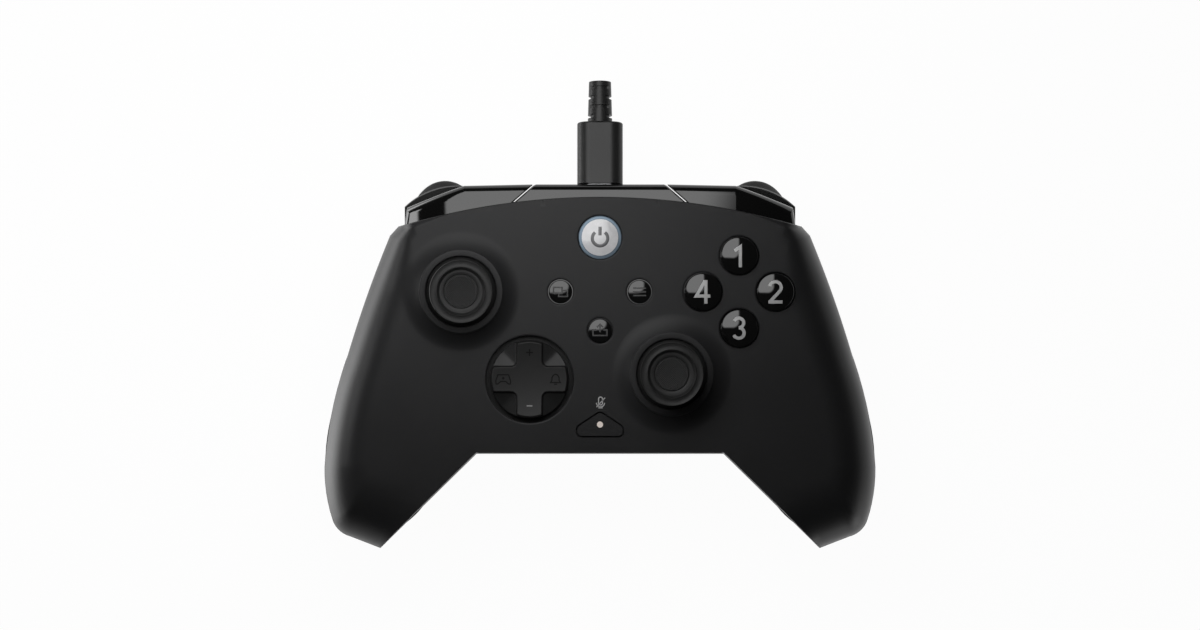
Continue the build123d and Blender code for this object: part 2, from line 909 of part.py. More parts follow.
def bridge_outline(inset, back_inset):
    front_y = bumper_front_y - inset
    back_y = edge_y(hinge_x, -bumper_tuck) + back_inset
    middle_y = edge_y(0, -bumper_tuck) + back_inset
    side_shift = -split_gap / 2 - inset * hypot(1, split_slope)
    front_x = split_x + side_shift + split_slope * inset
    back_x = split_x + side_shift + split_slope * (bumper_front_y - back_y)
    with BuildSketch() as made:
        with BuildLine():
            Line((-front_x, front_y), (front_x, front_y))
            Line((front_x, front_y), (back_x, back_y))
            ThreePointArc((back_x, back_y), (0, middle_y), (-back_x, back_y))
            Line((-back_x, back_y), (-front_x, front_y))
        make_face()
    return made.sketch


def split_top_edges(solid):
    """Top edges on the two slanted splits between the bumpers and the bridge."""
    edges = solid.edges().filter_by_position(Axis.Z, bumper_top_z - running_gap, bumper_top_z + running_gap)
    ways = [(edge, edge.end_point() - edge.start_point()) for edge in edges]
    return [edge for edge, way in ways if abs(abs(way.X) - abs(way.Y) * split_slope) < running_gap]


def front_top_edges(solid):
    """Top edges along the outside of a bumper or the bridge."""
    low = bumper_bottom_z + bumper_wall
    edges = solid.edges().filter_by_position(Axis.Z, low, bumper_top_z + running_gap)
    outer = [edge for edge in edges if edge.center().Y > edge_y(edge.center().X, seam_gap)]
    return [edge for edge in outer if abs((edge.end_point() - edge.start_point()).X) > seam_gap]


def bumper_crown(down):
    """Space under the bumper's top, which falls away to its outer end."""
    top = bumper_top_z - down
    end_x = bumper_side_x + wall
    mid_x = (bumper_bend_x + end_x) / 2
    mid_drop = bumper_crown_radius - sqrt(bumper_crown_radius**2 - (mid_x - bumper_bend_x) ** 2)
    end_drop = bumper_crown_radius - sqrt(bumper_crown_radius**2 - (end_x - bumper_bend_x) ** 2)
    with BuildSketch(Plane.XZ) as made:
        with BuildLine():
            Polyline((end_x, 0), (0, 0), (0, top), (bumper_bend_x, top))
            ThreePointArc((bumper_bend_x, top), (mid_x, top - mid_drop), (end_x, top - end_drop))
            Line((end_x, top - end_drop), (end_x, 0))
        make_face()
    return extrude(made.sketch, amount=-(bumper_front_y + wall))


def make_right_bumper():
    solid = prism(bumper_outline(0), bumper_bottom_z, bumper_top_z) & bumper_crown(0)
    solid = fillet(front_top_edges(solid), bumper_round)
    solid = chamfer(split_top_edges(solid), split_edge)
    pocket = prism(bumper_outline(bumper_wall), bumper_bottom_z - wall, bumper_top_z - bumper_wall)
    pocket = pocket & bumper_crown(bumper_wall)
    lug = post(hinge_x, hinge_y, bumper_bottom_z, bumper_top_z - bumper_wall / 2, hinge_lug)
    lug = lug & prism(bumper_outline(0), bumper_bottom_z, bumper_top_z)
    solid = solid - pocket + lug
    bore_top_z = hinge_top_z + running_gap * 2
    return solid - post(hinge_x, hinge_y, bumper_bottom_z - wall, bore_top_z, hinge_radius + running_gap)


def make_bridge():
    low_z = bay_floor_z + seam_gap + floor_thickness + running_gap
    solid = prism(bridge_outline(0, 0), low_z, bumper_top_z)
    solid = fillet(front_top_edges(solid), bumper_round)
    solid = chamfer(split_top_edges(solid), split_edge)
    pocket = prism(bridge_outline(bumper_wall, -wall), bumper_bottom_z - wall, bumper_top_z - bumper_wall)
    window = port_slot(tip_width + port_gap * 4, tip_height + port_gap * 4, -cut_overrun, cut_overrun)
    recess = port_slot(plug_width + seam_gap * 2, plug_height + seam_gap * 2, -seam_gap, cut_overrun)
    return solid - pocket - port_place * window - port_place * recess


# Triggers


def trigger_loft(inset, back_reach, rows):
    sections = []
    width = trigger_outer_x - trigger_inner_x
    depth = trigger_front_y - trigger_back_y
    for down, wide, back, inner, middle, outer in rows:
        z = trigger_top_z - inset - (trigger_top_z - inset - trigger_low_z) * down
        x_low = trigger_inner_x + inset
        x_high = trigger_inner_x + width * wide - inset
        back_y = trigger_back_y + depth * back - back_reach
        points = (
            (x_low, trigger_back_y + depth * inner - inset),
            ((x_low + x_high) / 2, trigger_back_y + depth * middle - inset),
            (x_high, trigger_back_y + depth * outer - inset),
        )
        with BuildSketch() as made:
            with BuildLine():
                ThreePointArc(*points)
                Line(points[2], (x_high, back_y))
                Line((x_high, back_y), (x_low, back_y))
                Line((x_low, back_y), points[0])
            make_face()
        sections.append(Pos(0, 0, z) * made.sketch.face())
    return loft(sections)


def make_right_trigger():
    trigger = trigger_loft(0, 0, trigger_level_shares)
    hollow = trigger_loft(trigger_wall, cut_overrun, trigger_level_shares[:5])
    trigger = trigger - hollow
    cheeks = (
        (trigger_inner_x, trigger_inner_x + trigger_wall),
        (trigger_outer_x - trigger_wall, trigger_outer_x),
    )
    for low, high in cheeks:
        trigger = trigger + across(low, high, pivot_y, pivot_z, ear_radius)
    over = across(trigger_inner_x - wall, trigger_outer_x + wall, pivot_y, pivot_z, pin_radius + running_gap)
    return trigger - over - magnet_bar(running_gap)


def magnet_bar(grow):
    """Magnet set halfway into the trigger's front wall."""
    share_row = trigger_level_shares[3]
    x = (trigger_inner_x + trigger_inner_x + (trigger_outer_x - trigger_inner_x) * share_row[1]) / 2
    front = trigger_back_y + (trigger_front_y - trigger_back_y) * share_row[4] - trigger_wall / 2
    z = trigger_top_z - (trigger_top_z - trigger_low_z) * share_row[0]
    return along(x, front - magnet_length, front, z, magnet_radius + grow)


def make_right_trigger_pin():
    return across(trigger_inner_x + seam_gap, trigger_outer_x - seam_gap, pivot_y, pivot_z, pin_radius)


def make_right_trigger_spring():
    low = (trigger_inner_x + trigger_outer_x) / 2 + ear_width / 2 + running_gap
    high = trigger_outer_x - trigger_wall - ear_play
    sleeve = across(low, high, pivot_y, pivot_z, spring_sleeve)
    return sleeve - across(low - wall, high + wall, pivot_y, pivot_z, pin_radius + running_gap)


# Sticks: made round their own pivot, then put in place


def stick_housing():
    low = -module_depth
    outer = block(-module_half, module_half, -module_half, module_half, low, module_rise)
    inner_half = module_half - module_wall
    inner = block(-inner_half, inner_half, -inner_half, inner_half, low + module_wall, module_rise - module_wall)
    housing = outer - inner - post(0, 0, 0, module_rise + wall, module_mouth)
    return housing - across(-module_half - wall, module_half + wall, 0, 0, yoke_pin + running_gap)


def stick_yoke():
    half_z = yoke_thickness / 2
    ring = block(-yoke_half, yoke_half, -yoke_half, yoke_half, -half_z, half_z)
    ring = ring - block(-yoke_window, yoke_window, -yoke_window, yoke_window, -yoke_half, yoke_half)
    reach = module_half - module_wall / 2
    pins = across(-reach, reach, 0, 0, yoke_pin) - across(-yoke_window, yoke_window, 0, 0, yoke_pin + wall)
    yoke = ring + pins
    return yoke - along(0, -yoke_half - wall, yoke_half + wall, 0, swivel_pin + running_gap)


def stick_swivel():
    half_z = swivel_thickness / 2
    swivel = block(-swivel_half_x, swivel_half_x, -swivel_half_y, swivel_half_y, -half_z, half_z)
    swivel = swivel + along(0, -yoke_half + seam_gap, yoke_half - seam_gap, 0, swivel_pin)
    return swivel - post(0, 0, -module_depth, module_depth, shaft_radius + running_gap)


def stick_shaft():
    top = stick_pivot_depth + stick_top_rise - cap_thickness
    return post(0, 0, -swivel_thickness, top, shaft_radius)


def stick_cap():
    low = stick_pivot_depth + stick_top_rise - cap_thickness
    points = [(0, low + cap_thickness * cap_profile_shares[-1][1])]
    for radius_share, height_share in reversed(cap_profile_shares):
        points.append((cap_radius * radius_share, low + cap_thickness * height_share))
    points.append((0, low + cap_thickness * cap_profile_shares[0][1]))
    cap = turned(points)
    skirt = Sphere(dome_radius) - Sphere(dome_radius - dome_wall)
    skirt_low = dome_radius * cos(radians(dome_reach))
    skirt = skirt & post(0, 0, skirt_low, dome_radius + wall, dome_radius + wall)
    neck = post(0, 0, dome_radius - dome_wall, low, neck_radius)
    bore = post(0, 0, 0, low + running_gap, shaft_radius + shaft_fit)
    return skirt + neck + cap - bore


def stick_spring():
    low = module_wall - module_depth + running_gap
    ring = post(0, 0, low, low + spring_height, spring_radius)
    return ring - post(0, 0, low - wall, low + spring_height + wall, spring_radius - spring_wire)


def stick_sensors():
    half = sensor_width / 2
    near = module_half + running_gap
    far = near + sensor_thickness
    top = yoke_thickness
    low = -module_depth + module_wall
    first = block(near, far, -half, half, low, top)
    second = block(-half, half, near, far, low, top)
    return [first, second]


def stick_click_switch():
    near = -module_half - running_gap
    low = -module_depth + running_gap
    half = click_box / 2
    return block(near - click_box, near, -half, half, low, low + click_box)


# Directional pad


def make_pad():
    top = face_z + pad_rim_rise
    base = face_inner_z - pad_flange_drop + pad_flange_thickness * 2
    low = base - pad_flange_thickness
    pad = post(0, 0, low, top, pad_radius)
    dish_radius = (pad_radius - pad_rim_width) ** 2 / pad_dish / 2 + pad_dish / 2
    scoop = Pos(0, 0, top - pad_dish + dish_radius) * Sphere(dish_radius)
    pad = pad - scoop
    reach = pad_radius - pad_rim_width / 2
    half = pad_cross_width / 2
    cross_top = top + pad_cross_rise
    cross = block(-reach, reach, -half, half, low, cross_top) + block(-half, half, -reach, reach, low, cross_top)
    corners = cross.edges().filter_by(Axis.Z).filter_by_position(Axis.X, -pad_cross_width, pad_cross_width)
    inner_corners = [edge for edge in corners if hypot(edge.center().X, edge.center().Y) < pad_cross_width]
    cross = fillet(inner_corners, pad_cross_corner)
    hollow_drop = pad_hollow_radius - sqrt(pad_hollow_radius**2 - reach**2)
    hollow = Pos(0, 0, cross_top - hollow_drop + pad_hollow_radius) * Sphere(pad_hollow_radius)
    pad = pad + ((cross - hollow) & post(0, 0, low, cross_top + wall, reach))
    pad = pad + post(0, 0, low, base, pad_flange)
    ball_z = face_z - pad_ball_drop
    socket = post(0, 0, ball_z + pad_socket_rise, low + running_gap, pad_ball + pad_socket_wall)
    pad = pad + socket
    for x, y in ((1, 0), (0, 1), (-1, 0), (0, -1)):
        pad = pad + post(x * pad_foot_circle, y * pad_foot_circle, button_foot_z, low + running_gap, pad_foot)
    pad = pad - Pos(0, 0, ball_z) * Sphere(pad_ball + running_gap)
    return Pos(pad_x, pad_y, 0) * pad


def make_pad_post():
    """Post with a cup that the ball lies in."""
    ball_z = face_z - pad_ball_drop
    stand = post(0, 0, board_z, ball_z - pad_cup_drop, pad_post)
    foot = post(0, 0, board_z, board_z + mat_thickness, pad_post_foot)
    return Pos(pad_x, pad_y, 0) * (stand + foot - Pos(0, 0, ball_z) * Sphere(pad_ball + running_gap))


def make_pad_ball():
    return Pos(pad_x, pad_y, face_z - pad_ball_drop) * Sphere(pad_ball)


def dome(x, y, radius):
    """Rubber dome on the board under a button's foot."""
    low = board_z + mat_thickness / 2
    shape = Cone(radius * dome_base_share, radius, dome_height + mat_thickness / 2, align=low_align)
    return Pos(x, y, low) * shape


def make_pad_mat():
    mat = post(pad_x, pad_y, board_z, board_z + mat_thickness, pad_foot_circle + pad_foot * dome_base_share)
    for x, y in ((1, 0), (0, 1), (-1, 0), (0, -1)):
        mat = mat + dome(pad_x + x * pad_foot_circle, pad_y + y * pad_foot_circle, pad_foot)
    return mat - post(pad_x, pad_y, board_z - wall, board_z + wall, pad_post_foot + seam_gap)


# Buttons


def round_button(x, y, radius, rise, crown):
    """Domed button: crowned head, flange under the face, and a stem down to its dome."""
    top = face_z + rise
    crown_radius = (radius**2 + crown**2) / crown / 2
    head = post(0, 0, face_inner_z - flange_gap - flange_thickness, top, radius)
    head = head & (Pos(0, 0, top - crown_radius) * Sphere(crown_radius))
    flange_top = face_inner_z - flange_gap
    flange = post(0, 0, flange_top - flange_thickness, flange_top, radius + flange_width)
    stem = post(0, 0, button_foot_z, flange_top - flange_thickness / 2, radius * button_foot_share)
    return Pos(x, y, 0) * (head + flange + stem)


def make_face_mat():
    mat = post(cluster_x, cluster_y, board_z, board_z + mat_thickness, cluster_pitch * mat_centre_share)
    for x, y in face_button_places.values():
        mat = mat + dome(x, y, face_button_radius * button_foot_share)
    return mat


def make_centre_mat():
    """Mat under the small buttons and the guide button."""
    high = board_z + mat_thickness
    strip = small_button_radius * button_foot_share * dome_base_share
    reach = -view_x + strip
    mat = block(-reach, reach, small_button_y - strip, small_button_y + strip, board_z, high)
    mat = mat + block(-strip, strip, share_y - strip, guide_y, board_z, high)
    for x, y in small_button_places.values():
        mat = mat + dome(x, y, small_button_radius * button_foot_share)
    return mat + dome(0, guide_y, guide_radius * button_foot_share * guide_dome_share)


def make_guide_rim():
    button = round_button(0, guide_y, guide_radius, guide_rise, guide_rise / 3)
    seat_z = face_z + guide_rise - guide_lens_depth
    seat = post(0, guide_y, seat_z, face_z + wall + guide_rise, guide_lens_radius + shaft_fit)
    return button - seat


def make_guide_lens():
    low = face_z + guide_rise - guide_lens_depth
    top = low + guide_lens_depth + guide_crown
    crown_radius = (guide_lens_radius**2 + guide_crown**2) / guide_crown / 2
    lens = post(0, guide_y, low, top, guide_lens_radius)
    return lens & (Pos(0, guide_y, top - crown_radius) * Sphere(crown_radius))


def make_mic_button():
    top = face_z + mic_rise
    flange_top = face_inner_z - flange_gap
    low = mic_board_z + small_board_thickness + mic_switch_height + mic_travel + running_gap
    button = prism(mic_outline(0), flange_top - flange_thickness, top)
    button = button + prism(mic_outline(mic_flange), flange_top - flange_thickness, flange_top)
    button = button + post(0, mic_light_y, low, flange_top, small_button_radius * button_foot_share)
    return button - post(0, mic_light_y, flange_top, top + wall, mic_light_radius + shaft_fit)


def make_mic_light():
    low = face_inner_z - flange_gap + shaft_fit
    return post(0, mic_light_y, low, face_z + mic_rise + shaft_fit, mic_light_radius)


def make_mic_board():
    high = mic_board_z + small_board_thickness
    half = mic_half_width + boss_radius + seam_gap
    plate = block(-half, half, mic_base_y - wall / 2, mic_apex_y - seam_gap, mic_board_z, high)
    switch = click_box / 2
    low_y = mic_light_y - switch
    return plate, block(-switch, switch, low_y, low_y + click_box, high, high + mic_switch_height)


# Boards


def make_board():
    low = board_z - board_thickness
    board = block(-board_half_width, board_half_width, board_wide_low_y, board_wide_top_y, low, board_z)
    board = board + block(-board_half_low, board_half_low, board_low_y, board_wide_low_y, low, board_z)
    board = board + block(-board_half_top, board_half_top, board_wide_top_y, board_top_y, low, board_z)
    board = board + block(-board_tongue_half, board_tongue_half, board_top_y, board_tongue_y, low, board_z)
    for x, y in case_screw_places:
        board = board - post(x, y, low - wall, board_z + wall, boss_radius + seam_gap)
    for x, y in board_screw_places:
        board = board - post(x, y, low - wall, board_z + wall, board_screw_shank + screw_play)
    return board


def make_chips():
    """Controller chip, radio-noise filter and memory on the main board."""
    made = []
    places = (
        (chip_x, chip_y, chip_size),
        (-small_chip_x, small_chip_low_y, small_chip_size),
        (small_chip_x, small_chip_high_y, small_chip_size),
    )
    for x, y, size in places:
        half = size / 2
        made.append(block(x - half, x + half, y - half, y + half, board_z, board_z + chip_height))
    return made


# Back buttons


def make_right_back_button():
    floor_z = parting_z - pan_depth
    inner_z = floor_z + wall
    outline = SlotOverall(back_button_length, back_button_width, rotation=90)
    flange = SlotOverall(back_button_length + 2 * flange_width, back_button_width + 2 * flange_width, rotation=90)
    button = prism(outline, floor_z - back_button_rise, inner_z + flange_gap)
    button = fillet(button.faces().sort_by(Axis.Z)[0].edges(), back_button_rise / 2)
    button = button + prism(flange, inner_z + flange_gap, inner_z + flange_gap + flange_thickness)
    stem_top = board_z - board_thickness - back_switch_height - back_button_travel - dome_touch
    button = button + post(0, 0, inner_z, stem_top, shaft_radius)
    return Pos(back_button_x, back_button_y, 0) * button


def make_back_switches():
    top = board_z - board_thickness
    half = click_box / 2
    made = []
    for side in sides:
        x = side * back_button_x
        low_y = back_button_y - half
        made.append(block(x - half, x + half, low_y, low_y + click_box, top - back_switch_height, top))
    return made


# Motors


def make_right_motor():
    back_y = motor_front_y - motor_length
    can = along(motor_x, back_y, motor_front_y, motor_z, motor_radius)
    can = can - along(motor_x, back_y - wall, motor_front_y - module_wall, motor_z, motor_shaft + running_gap)
    return can


def make_right_rotor():
    """Motor shaft with its off-centre weight."""
    back_y = motor_front_y - motor_length
    weight_high = back_y - weight_gap
    weight_low = weight_high - weight_length
    shaft = along(motor_x, weight_low, motor_front_y - module_wall * 2, motor_z, motor_shaft)
    hub = along(motor_x, weight_low, weight_high, motor_z, weight_hub)
    disc = along(motor_x, weight_low, weight_high, motor_z, weight_radius)
    disc = disc - block(
        motor_x - weight_radius - wall,
        motor_x + weight_radius + wall,
        weight_low - wall,
        weight_high + wall,
        motor_z,
        motor_z + weight_radius + wall,
    )
    return shaft + hub + disc


# Sockets and plug


def make_jack():
    front = notch_y + seam_gap + lip_round / 3
    body_front = notch_y + wall + seam_gap + seam_gap
    middle_z = board_z + jack_height / 2
    body_back = front + jack_depth + module_wall
    body = block(-jack_half_width, jack_half_width, body_front, body_back, board_z, board_z + jack_height)
    nose = along(0, front, body_front + wall, middle_z, jack_nose)
    nose = nose & block(-jack_nose, jack_nose, front, body_front + wall, board_z, board_z + jack_height)
    return body + nose - along(0, front - wall, front + jack_depth, middle_z, jack_radius)


def port_slot(width, height, low, high):
    """Stadium-shaped bar along the plug's own Y axis."""
    outline = SlotOverall(width, height)
    bar = extrude(outline, amount=high - low)
    return Pos(0, high, 0) * Rot(90, 0, 0) * bar


def port_board_space():
    """Space above the underside of the tilted socket board."""
    reach = cut_overrun + port_board_length
    low = -tip_height / 2 - port_gap - port_board_thickness
    return block(-reach, reach, -reach, reach, low, low + reach)


def make_port_board():
    top = -tip_height / 2 - port_gap
    back = -port_back - port_board_length
    front = -port_back - bumper_wall
    plate = block(-port_board_half, port_board_half, back, front, top - port_board_thickness, top)
    return port_place * plate


def make_port():
    """Cable socket: metal tunnel with its tongue."""
    front = -port_back - bumper_wall
    back = -port_back - port_depth
    tunnel = port_slot(tip_width + port_gap * 2, tip_height + port_gap * 2, back, front)
    hollow = port_slot(tip_width + port_play * 2, tip_height + port_play * 2, back + module_wall, front + wall)
    half = tongue_width / 2
    thick = tongue_thickness / 2
    tongue = block(-half, half, back, front - wall, -thick, thick)
    return port_place * (tunnel - hollow + tongue)


def make_plug_tip():
    outer = port_slot(tip_width, tip_height, -tip_length, 0)
    hollow = port_slot(tip_width - tip_wall * 2, tip_height - tip_wall * 2, -tip_length - wall, -wall / 4)
    return port_place * (outer - hollow)


def make_plug_grip():
    grip = port_slot(plug_width, plug_height, 0, plug_length)
    grip = fillet(grip.edges().group_by(Axis.Y)[-1], plug_edge_round)
    mark_y = plug_length - plug_edge_round - plug_mark_radius * 2
    mark = Pos(0, mark_y, plug_height / 2 - plug_mark_depth) * Cylinder(plug_mark_radius, wall, align=low_align)
    bore = along(0, plug_length - wall, plug_length + wall, 0, cord_bore)
    return port_place * (grip - mark - bore)


def make_relief():
    """Strain relief: a tapered tube, slotted from the sides and from the front and back in turn."""
    tube = Cone(relief_radius, relief_end_radius, relief_length, align=low_align)
    tube = Pos(0, plug_length, 0) * Rot(-90, 0, 0) * tube
    reach = relief_radius + wall
    web = relief_web / 2
    for index in range(relief_count):
        low = plug_length + relief_first + relief_pitch * index
        if index % 2:
            inner = (-reach, reach, low, low + relief_slot, web, reach)
            outer = (-reach, reach, low, low + relief_slot, -reach, -web)
        else:
            inner = (web, reach, low, low + relief_slot, -reach, reach)
            outer = (-reach, -web, low, low + relief_slot, -reach, reach)
        core = along(0, low - wall, low + wall + wall, 0, cord_bore + relief_core)
        tube = tube - (block(*inner) - core) - (block(*outer) - core)
    tube = tube - along(0, plug_length - wall, plug_length + relief_length + wall, 0, cord_bore)
    return port_place * tube


# Screws


def make_case_screws():
    made = []
    for x, y in case_screw_places:
        head = post(x, y, screw_seat_z - screw_head_height, screw_seat_z, screw_head)
        shank = post(x, y, screw_seat_z - lip_round, screw_seat_z + screw_length, screw_shank)
        low = screw_seat_z - screw_head_height
        recess = extrude(Pos(x, y, low) * RegularPolygon(socket_radius, 6), amount=screw_head_height / 2)
        made.append(head + shank - recess)
    return made


def make_board_screws():
    made = []
    for x, y in board_screw_places:
        head = post(x, y, board_z, board_z + board_screw_head / 2, board_screw_head)
        shank = post(x, y, screw_seat_z + wall, board_z + board_screw_head / 4, board_screw_shank)
        made.append(head + shank)
    return made


def make_nodes():
    nodes = {
        "front_shell": make_front_shell(),
        "rear_shell": make_rear_shell(),
        "mid_frame": make_mid_frame(),
        "top_bridge": make_bridge(),
        "main_board": make_board(),
        "board_chips": make_chips(),
        "pad_dome_mat": make_pad_mat(),
        "face_dome_mat": make_face_mat(),
        "centre_dome_mat": make_centre_mat(),
        "direction_pad": make_pad(),
        "pad_post": make_pad_post(),
        "pad_ball": make_pad_ball(),
        "guide_rim": make_guide_rim(),
        "guide_lens": make_guide_lens(),
        "mic_button": make_mic_button(),
        "mic_light": make_mic_light(),
        "headset_jack": make_jack(),
        "cable_port": make_port(),
        "port_board": make_port_board(),
        "plug_tip": make_plug_tip(),
        "plug_grip": make_plug_grip(),
        "strain_relief": make_relief(),
        "case_screws": make_case_screws(),
        "board_screws": make_board_screws(),
    }
    nodes["mic_board"], mic_switch = make_mic_board()
    nodes["button_switches"] = [*make_bumper_switches(), *make_back_switches(), mic_switch]
    for name, (x, y) in face_button_places.items():
        nodes[f"face_button_{name}"] = round_button(x, y, face_button_radius, face_button_rise, face_button_crown)
    for name, (x, y) in small_button_places.items():
        nodes[f"{name}_button"] = round_button(x, y, small_button_radius, small_button_rise, small_button_crown)
    springs = []
    sensors = []
    click_switches = []
    for name, (x, y) in zip(("left", "right"), stick_places):
        place = Pos(x, y, stick_pivot_z)
        nodes[f"{name}_stick_housing"] = place * stick_housing()
        nodes[f"{name}_stick_yoke"] = place * stick_yoke()
        nodes[f"{name}_stick_swivel"] = place * stick_swivel()
        nodes[f"{name}_stick_shaft"] = place * stick_shaft()
        nodes[f"{name}_stick_cap"] = place * stick_cap()
        springs.append(place * stick_spring())
        sensors += [place * sensor for sensor in stick_sensors()]
        click_switches.append(place * stick_click_switch())
    nodes["stick_springs"] = springs
    nodes["stick_sensors"] = sensors
    nodes["click_switches"] = click_switches
    pairs = {
        "bumper": make_right_bumper(),
        "trigger": make_right_trigger(),
        "trigger_magnet": magnet_bar(0),
        "back_button": make_right_back_button(),
        "motor_rotor": make_right_rotor(),
    }
    for name, shape in pairs.items():
        nodes[f"right_{name}"] = shape
        nodes[f"left_{name}"] = flipped(shape)
    nodes["trigger_pins"] = both(make_right_trigger_pin())
    nodes["trigger_springs"] = both(make_right_trigger_spring())
    nodes["motors"] = both(make_right_motor())
    return nodes


os.makedirs("parts", exist_ok=True)
for node_name, node_shape in make_nodes().items():
    if isinstance(node_shape, list):
        node_shape = Compound(children=[solid for shape in node_shape for solid in shape.solids()])
    export_step(node_shape, f"parts/{node_name}.step")
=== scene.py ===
import math

import bpy
import numpy as np
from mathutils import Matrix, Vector
from mathutils.geometry import delaunay_2d_cdt


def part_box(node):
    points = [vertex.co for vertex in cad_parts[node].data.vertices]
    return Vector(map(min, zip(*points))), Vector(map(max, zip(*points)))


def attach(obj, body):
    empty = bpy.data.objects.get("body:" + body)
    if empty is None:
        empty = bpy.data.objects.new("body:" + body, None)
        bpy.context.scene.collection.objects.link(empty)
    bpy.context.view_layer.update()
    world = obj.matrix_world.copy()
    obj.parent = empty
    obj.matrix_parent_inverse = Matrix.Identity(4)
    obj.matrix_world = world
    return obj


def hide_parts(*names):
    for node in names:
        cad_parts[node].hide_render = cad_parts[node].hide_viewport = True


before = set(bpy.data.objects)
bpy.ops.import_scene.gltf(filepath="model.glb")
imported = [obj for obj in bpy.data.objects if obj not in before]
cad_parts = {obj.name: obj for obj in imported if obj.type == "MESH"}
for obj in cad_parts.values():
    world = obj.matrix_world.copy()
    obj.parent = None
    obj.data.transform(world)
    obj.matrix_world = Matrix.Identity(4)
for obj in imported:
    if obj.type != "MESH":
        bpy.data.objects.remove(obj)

scene = bpy.context.scene
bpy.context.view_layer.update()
mm = 0.001
print("frame loaded,", len(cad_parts), "nodes")

# Camera: straight above the face, without perspective
cameraSet = {"frameWidth": 337.2 * mm, "centreY": -0.21 * mm, "height": 0.6}
cameraData = bpy.data.cameras.new("camera")
cameraData.type = "ORTHO"
cameraData.ortho_scale = cameraSet["frameWidth"]
camera = bpy.data.objects.new("camera", cameraData)
camera.location = (0, cameraSet["centreY"], cameraSet["height"])
scene.collection.objects.link(camera)
scene.camera = camera
scene.view_settings.view_transform = "Standard"


# Node helpers
def nodeMaker(tree):
    def add(kind, inputs=None, **settings):
        node = tree.nodes.new("ShaderNode" + kind)
        for key, value in settings.items():
            setattr(node, key, value)
        for key, value in (inputs or {}).items():
            if isinstance(value, bpy.types.NodeSocket):
                tree.links.new(value, node.inputs[key])
            else:
                node.inputs[key].default_value = value
        return node

    return add


def calculator(add):
    def calc(operation, first, second=0.0):
        return add("Math", {0: first, 1: second}, operation=operation).outputs[0]

    return calc


def vectorCalculator(add):
    def vector(operation, first, second=(0, 0, 0)):
        node = add("VectorMath", {0: first, 1: second}, operation=operation)
        return node.outputs["Value" if operation == "LENGTH" else "Vector"]

    return vector


def newGroup(name, inputs, outputs):
    tree = bpy.data.node_groups.new(name, "ShaderNodeTree")
    for label, value in inputs.items():
        kind = "NodeSocketVector" if isinstance(value, tuple) else "NodeSocketFloat"
        socket = tree.interface.new_socket(label, in_out="INPUT", socket_type=kind)
        socket.default_value = value
    for label in outputs:
        tree.interface.new_socket(label, in_out="OUTPUT", socket_type="NodeSocketFloat")
    add = nodeMaker(tree)
    return tree, add, tree.nodes.new("NodeGroupInput").outputs, tree.nodes.new("NodeGroupOutput")


def joinGroup(tree, groupOut, **sockets):
    for label, socket in sockets.items():
        tree.links.new(socket, groupOut.inputs[label])


# Lights: each panel has its middle, the point it faces, its two sizes, its brightness with white paper at 1,
# how far its corners round and its edges fade, and whether gloss shows it
lightSet = {
    "softBox": {
        "at": (-0.0375, 0.0965, 0.2), "aim": (-0.0375, 0.0965, 0), "size": (0.165, 0.207), "level": 3.5,
        "corner": 0.05, "fade": 0.016,
    },
    "leftPanel": {
        "at": (-0.3, 0.035, 0.14), "aim": (0, 0.035, 0.14), "size": (0.13, 0.12), "level": 6.5,
        "corner": 0.03, "fade": 0.03,
    },
    "leftGlow": {
        "at": (-0.2, 0.04, 0.003), "aim": (-0.2, 0.04, 1), "size": (0.24, 0.28), "level": 4.6,
        "corner": 0.05, "fade": 0.05,
    },
    "rightGlow": {
        "at": (0.17, -0.15, 0.003), "aim": (0.17, -0.15, 1), "size": (0.18, 0.18), "level": 3.0,
        "corner": 0.06, "fade": 0.06,
    },
    "fill": {
        "at": (-0.2, 0.5, 1.1), "aim": (0, 0, 0), "size": (1.0, 1.0), "level": 1.0,
        "corner": 0.1, "fade": 0.05, "gloss": False,
    },
}


def addLight(name, at, aim, size, level, corner, fade, gloss=True):
    data = bpy.data.lights.new(name, "AREA")
    data.shape = "RECTANGLE"
    data.size, data.size_y = size
    data.energy = level * math.pi * size[0] * size[1]
    data.use_nodes = True
    data.node_tree.nodes.clear()
    add = nodeMaker(data.node_tree)
    vector = vectorCalculator(add)
    # How far each place lies past the box between the corners' centres
    spot = vector("SUBTRACT", add("NewGeometry").outputs["Parametric"], (0.5, 0.5, 0))
    spot = vector("ABSOLUTE", vector("MULTIPLY", spot, (*size, 0)))
    core = (size[0] / 2 - corner, size[1] / 2 - corner, 0)
    past = vector("LENGTH", vector("MAXIMUM", vector("SUBTRACT", spot, core)))
    edge = {"Value": past, "From Min": corner - fade, "From Max": corner, "To Min": 1.0, "To Max": 0.0}
    glow = add("MapRange", edge, interpolation_type="SMOOTHSTEP").outputs[0]
    lamp = add("Emission", {"Color": (1, 1, 1, 1), "Strength": glow})
    add("OutputLight", {"Surface": lamp.outputs[0]})
    light = bpy.data.objects.new(name, data)
    light.location = at
    way = Vector(aim) - Vector(at)
    light.rotation_euler = way.to_track_quat("-Z", "Y").to_euler()
    light.visible_camera = False
    light.visible_glossy = gloss
    scene.collection.objects.link(light)


for lightName, values in lightSet.items():
    addLight(lightName, **values)

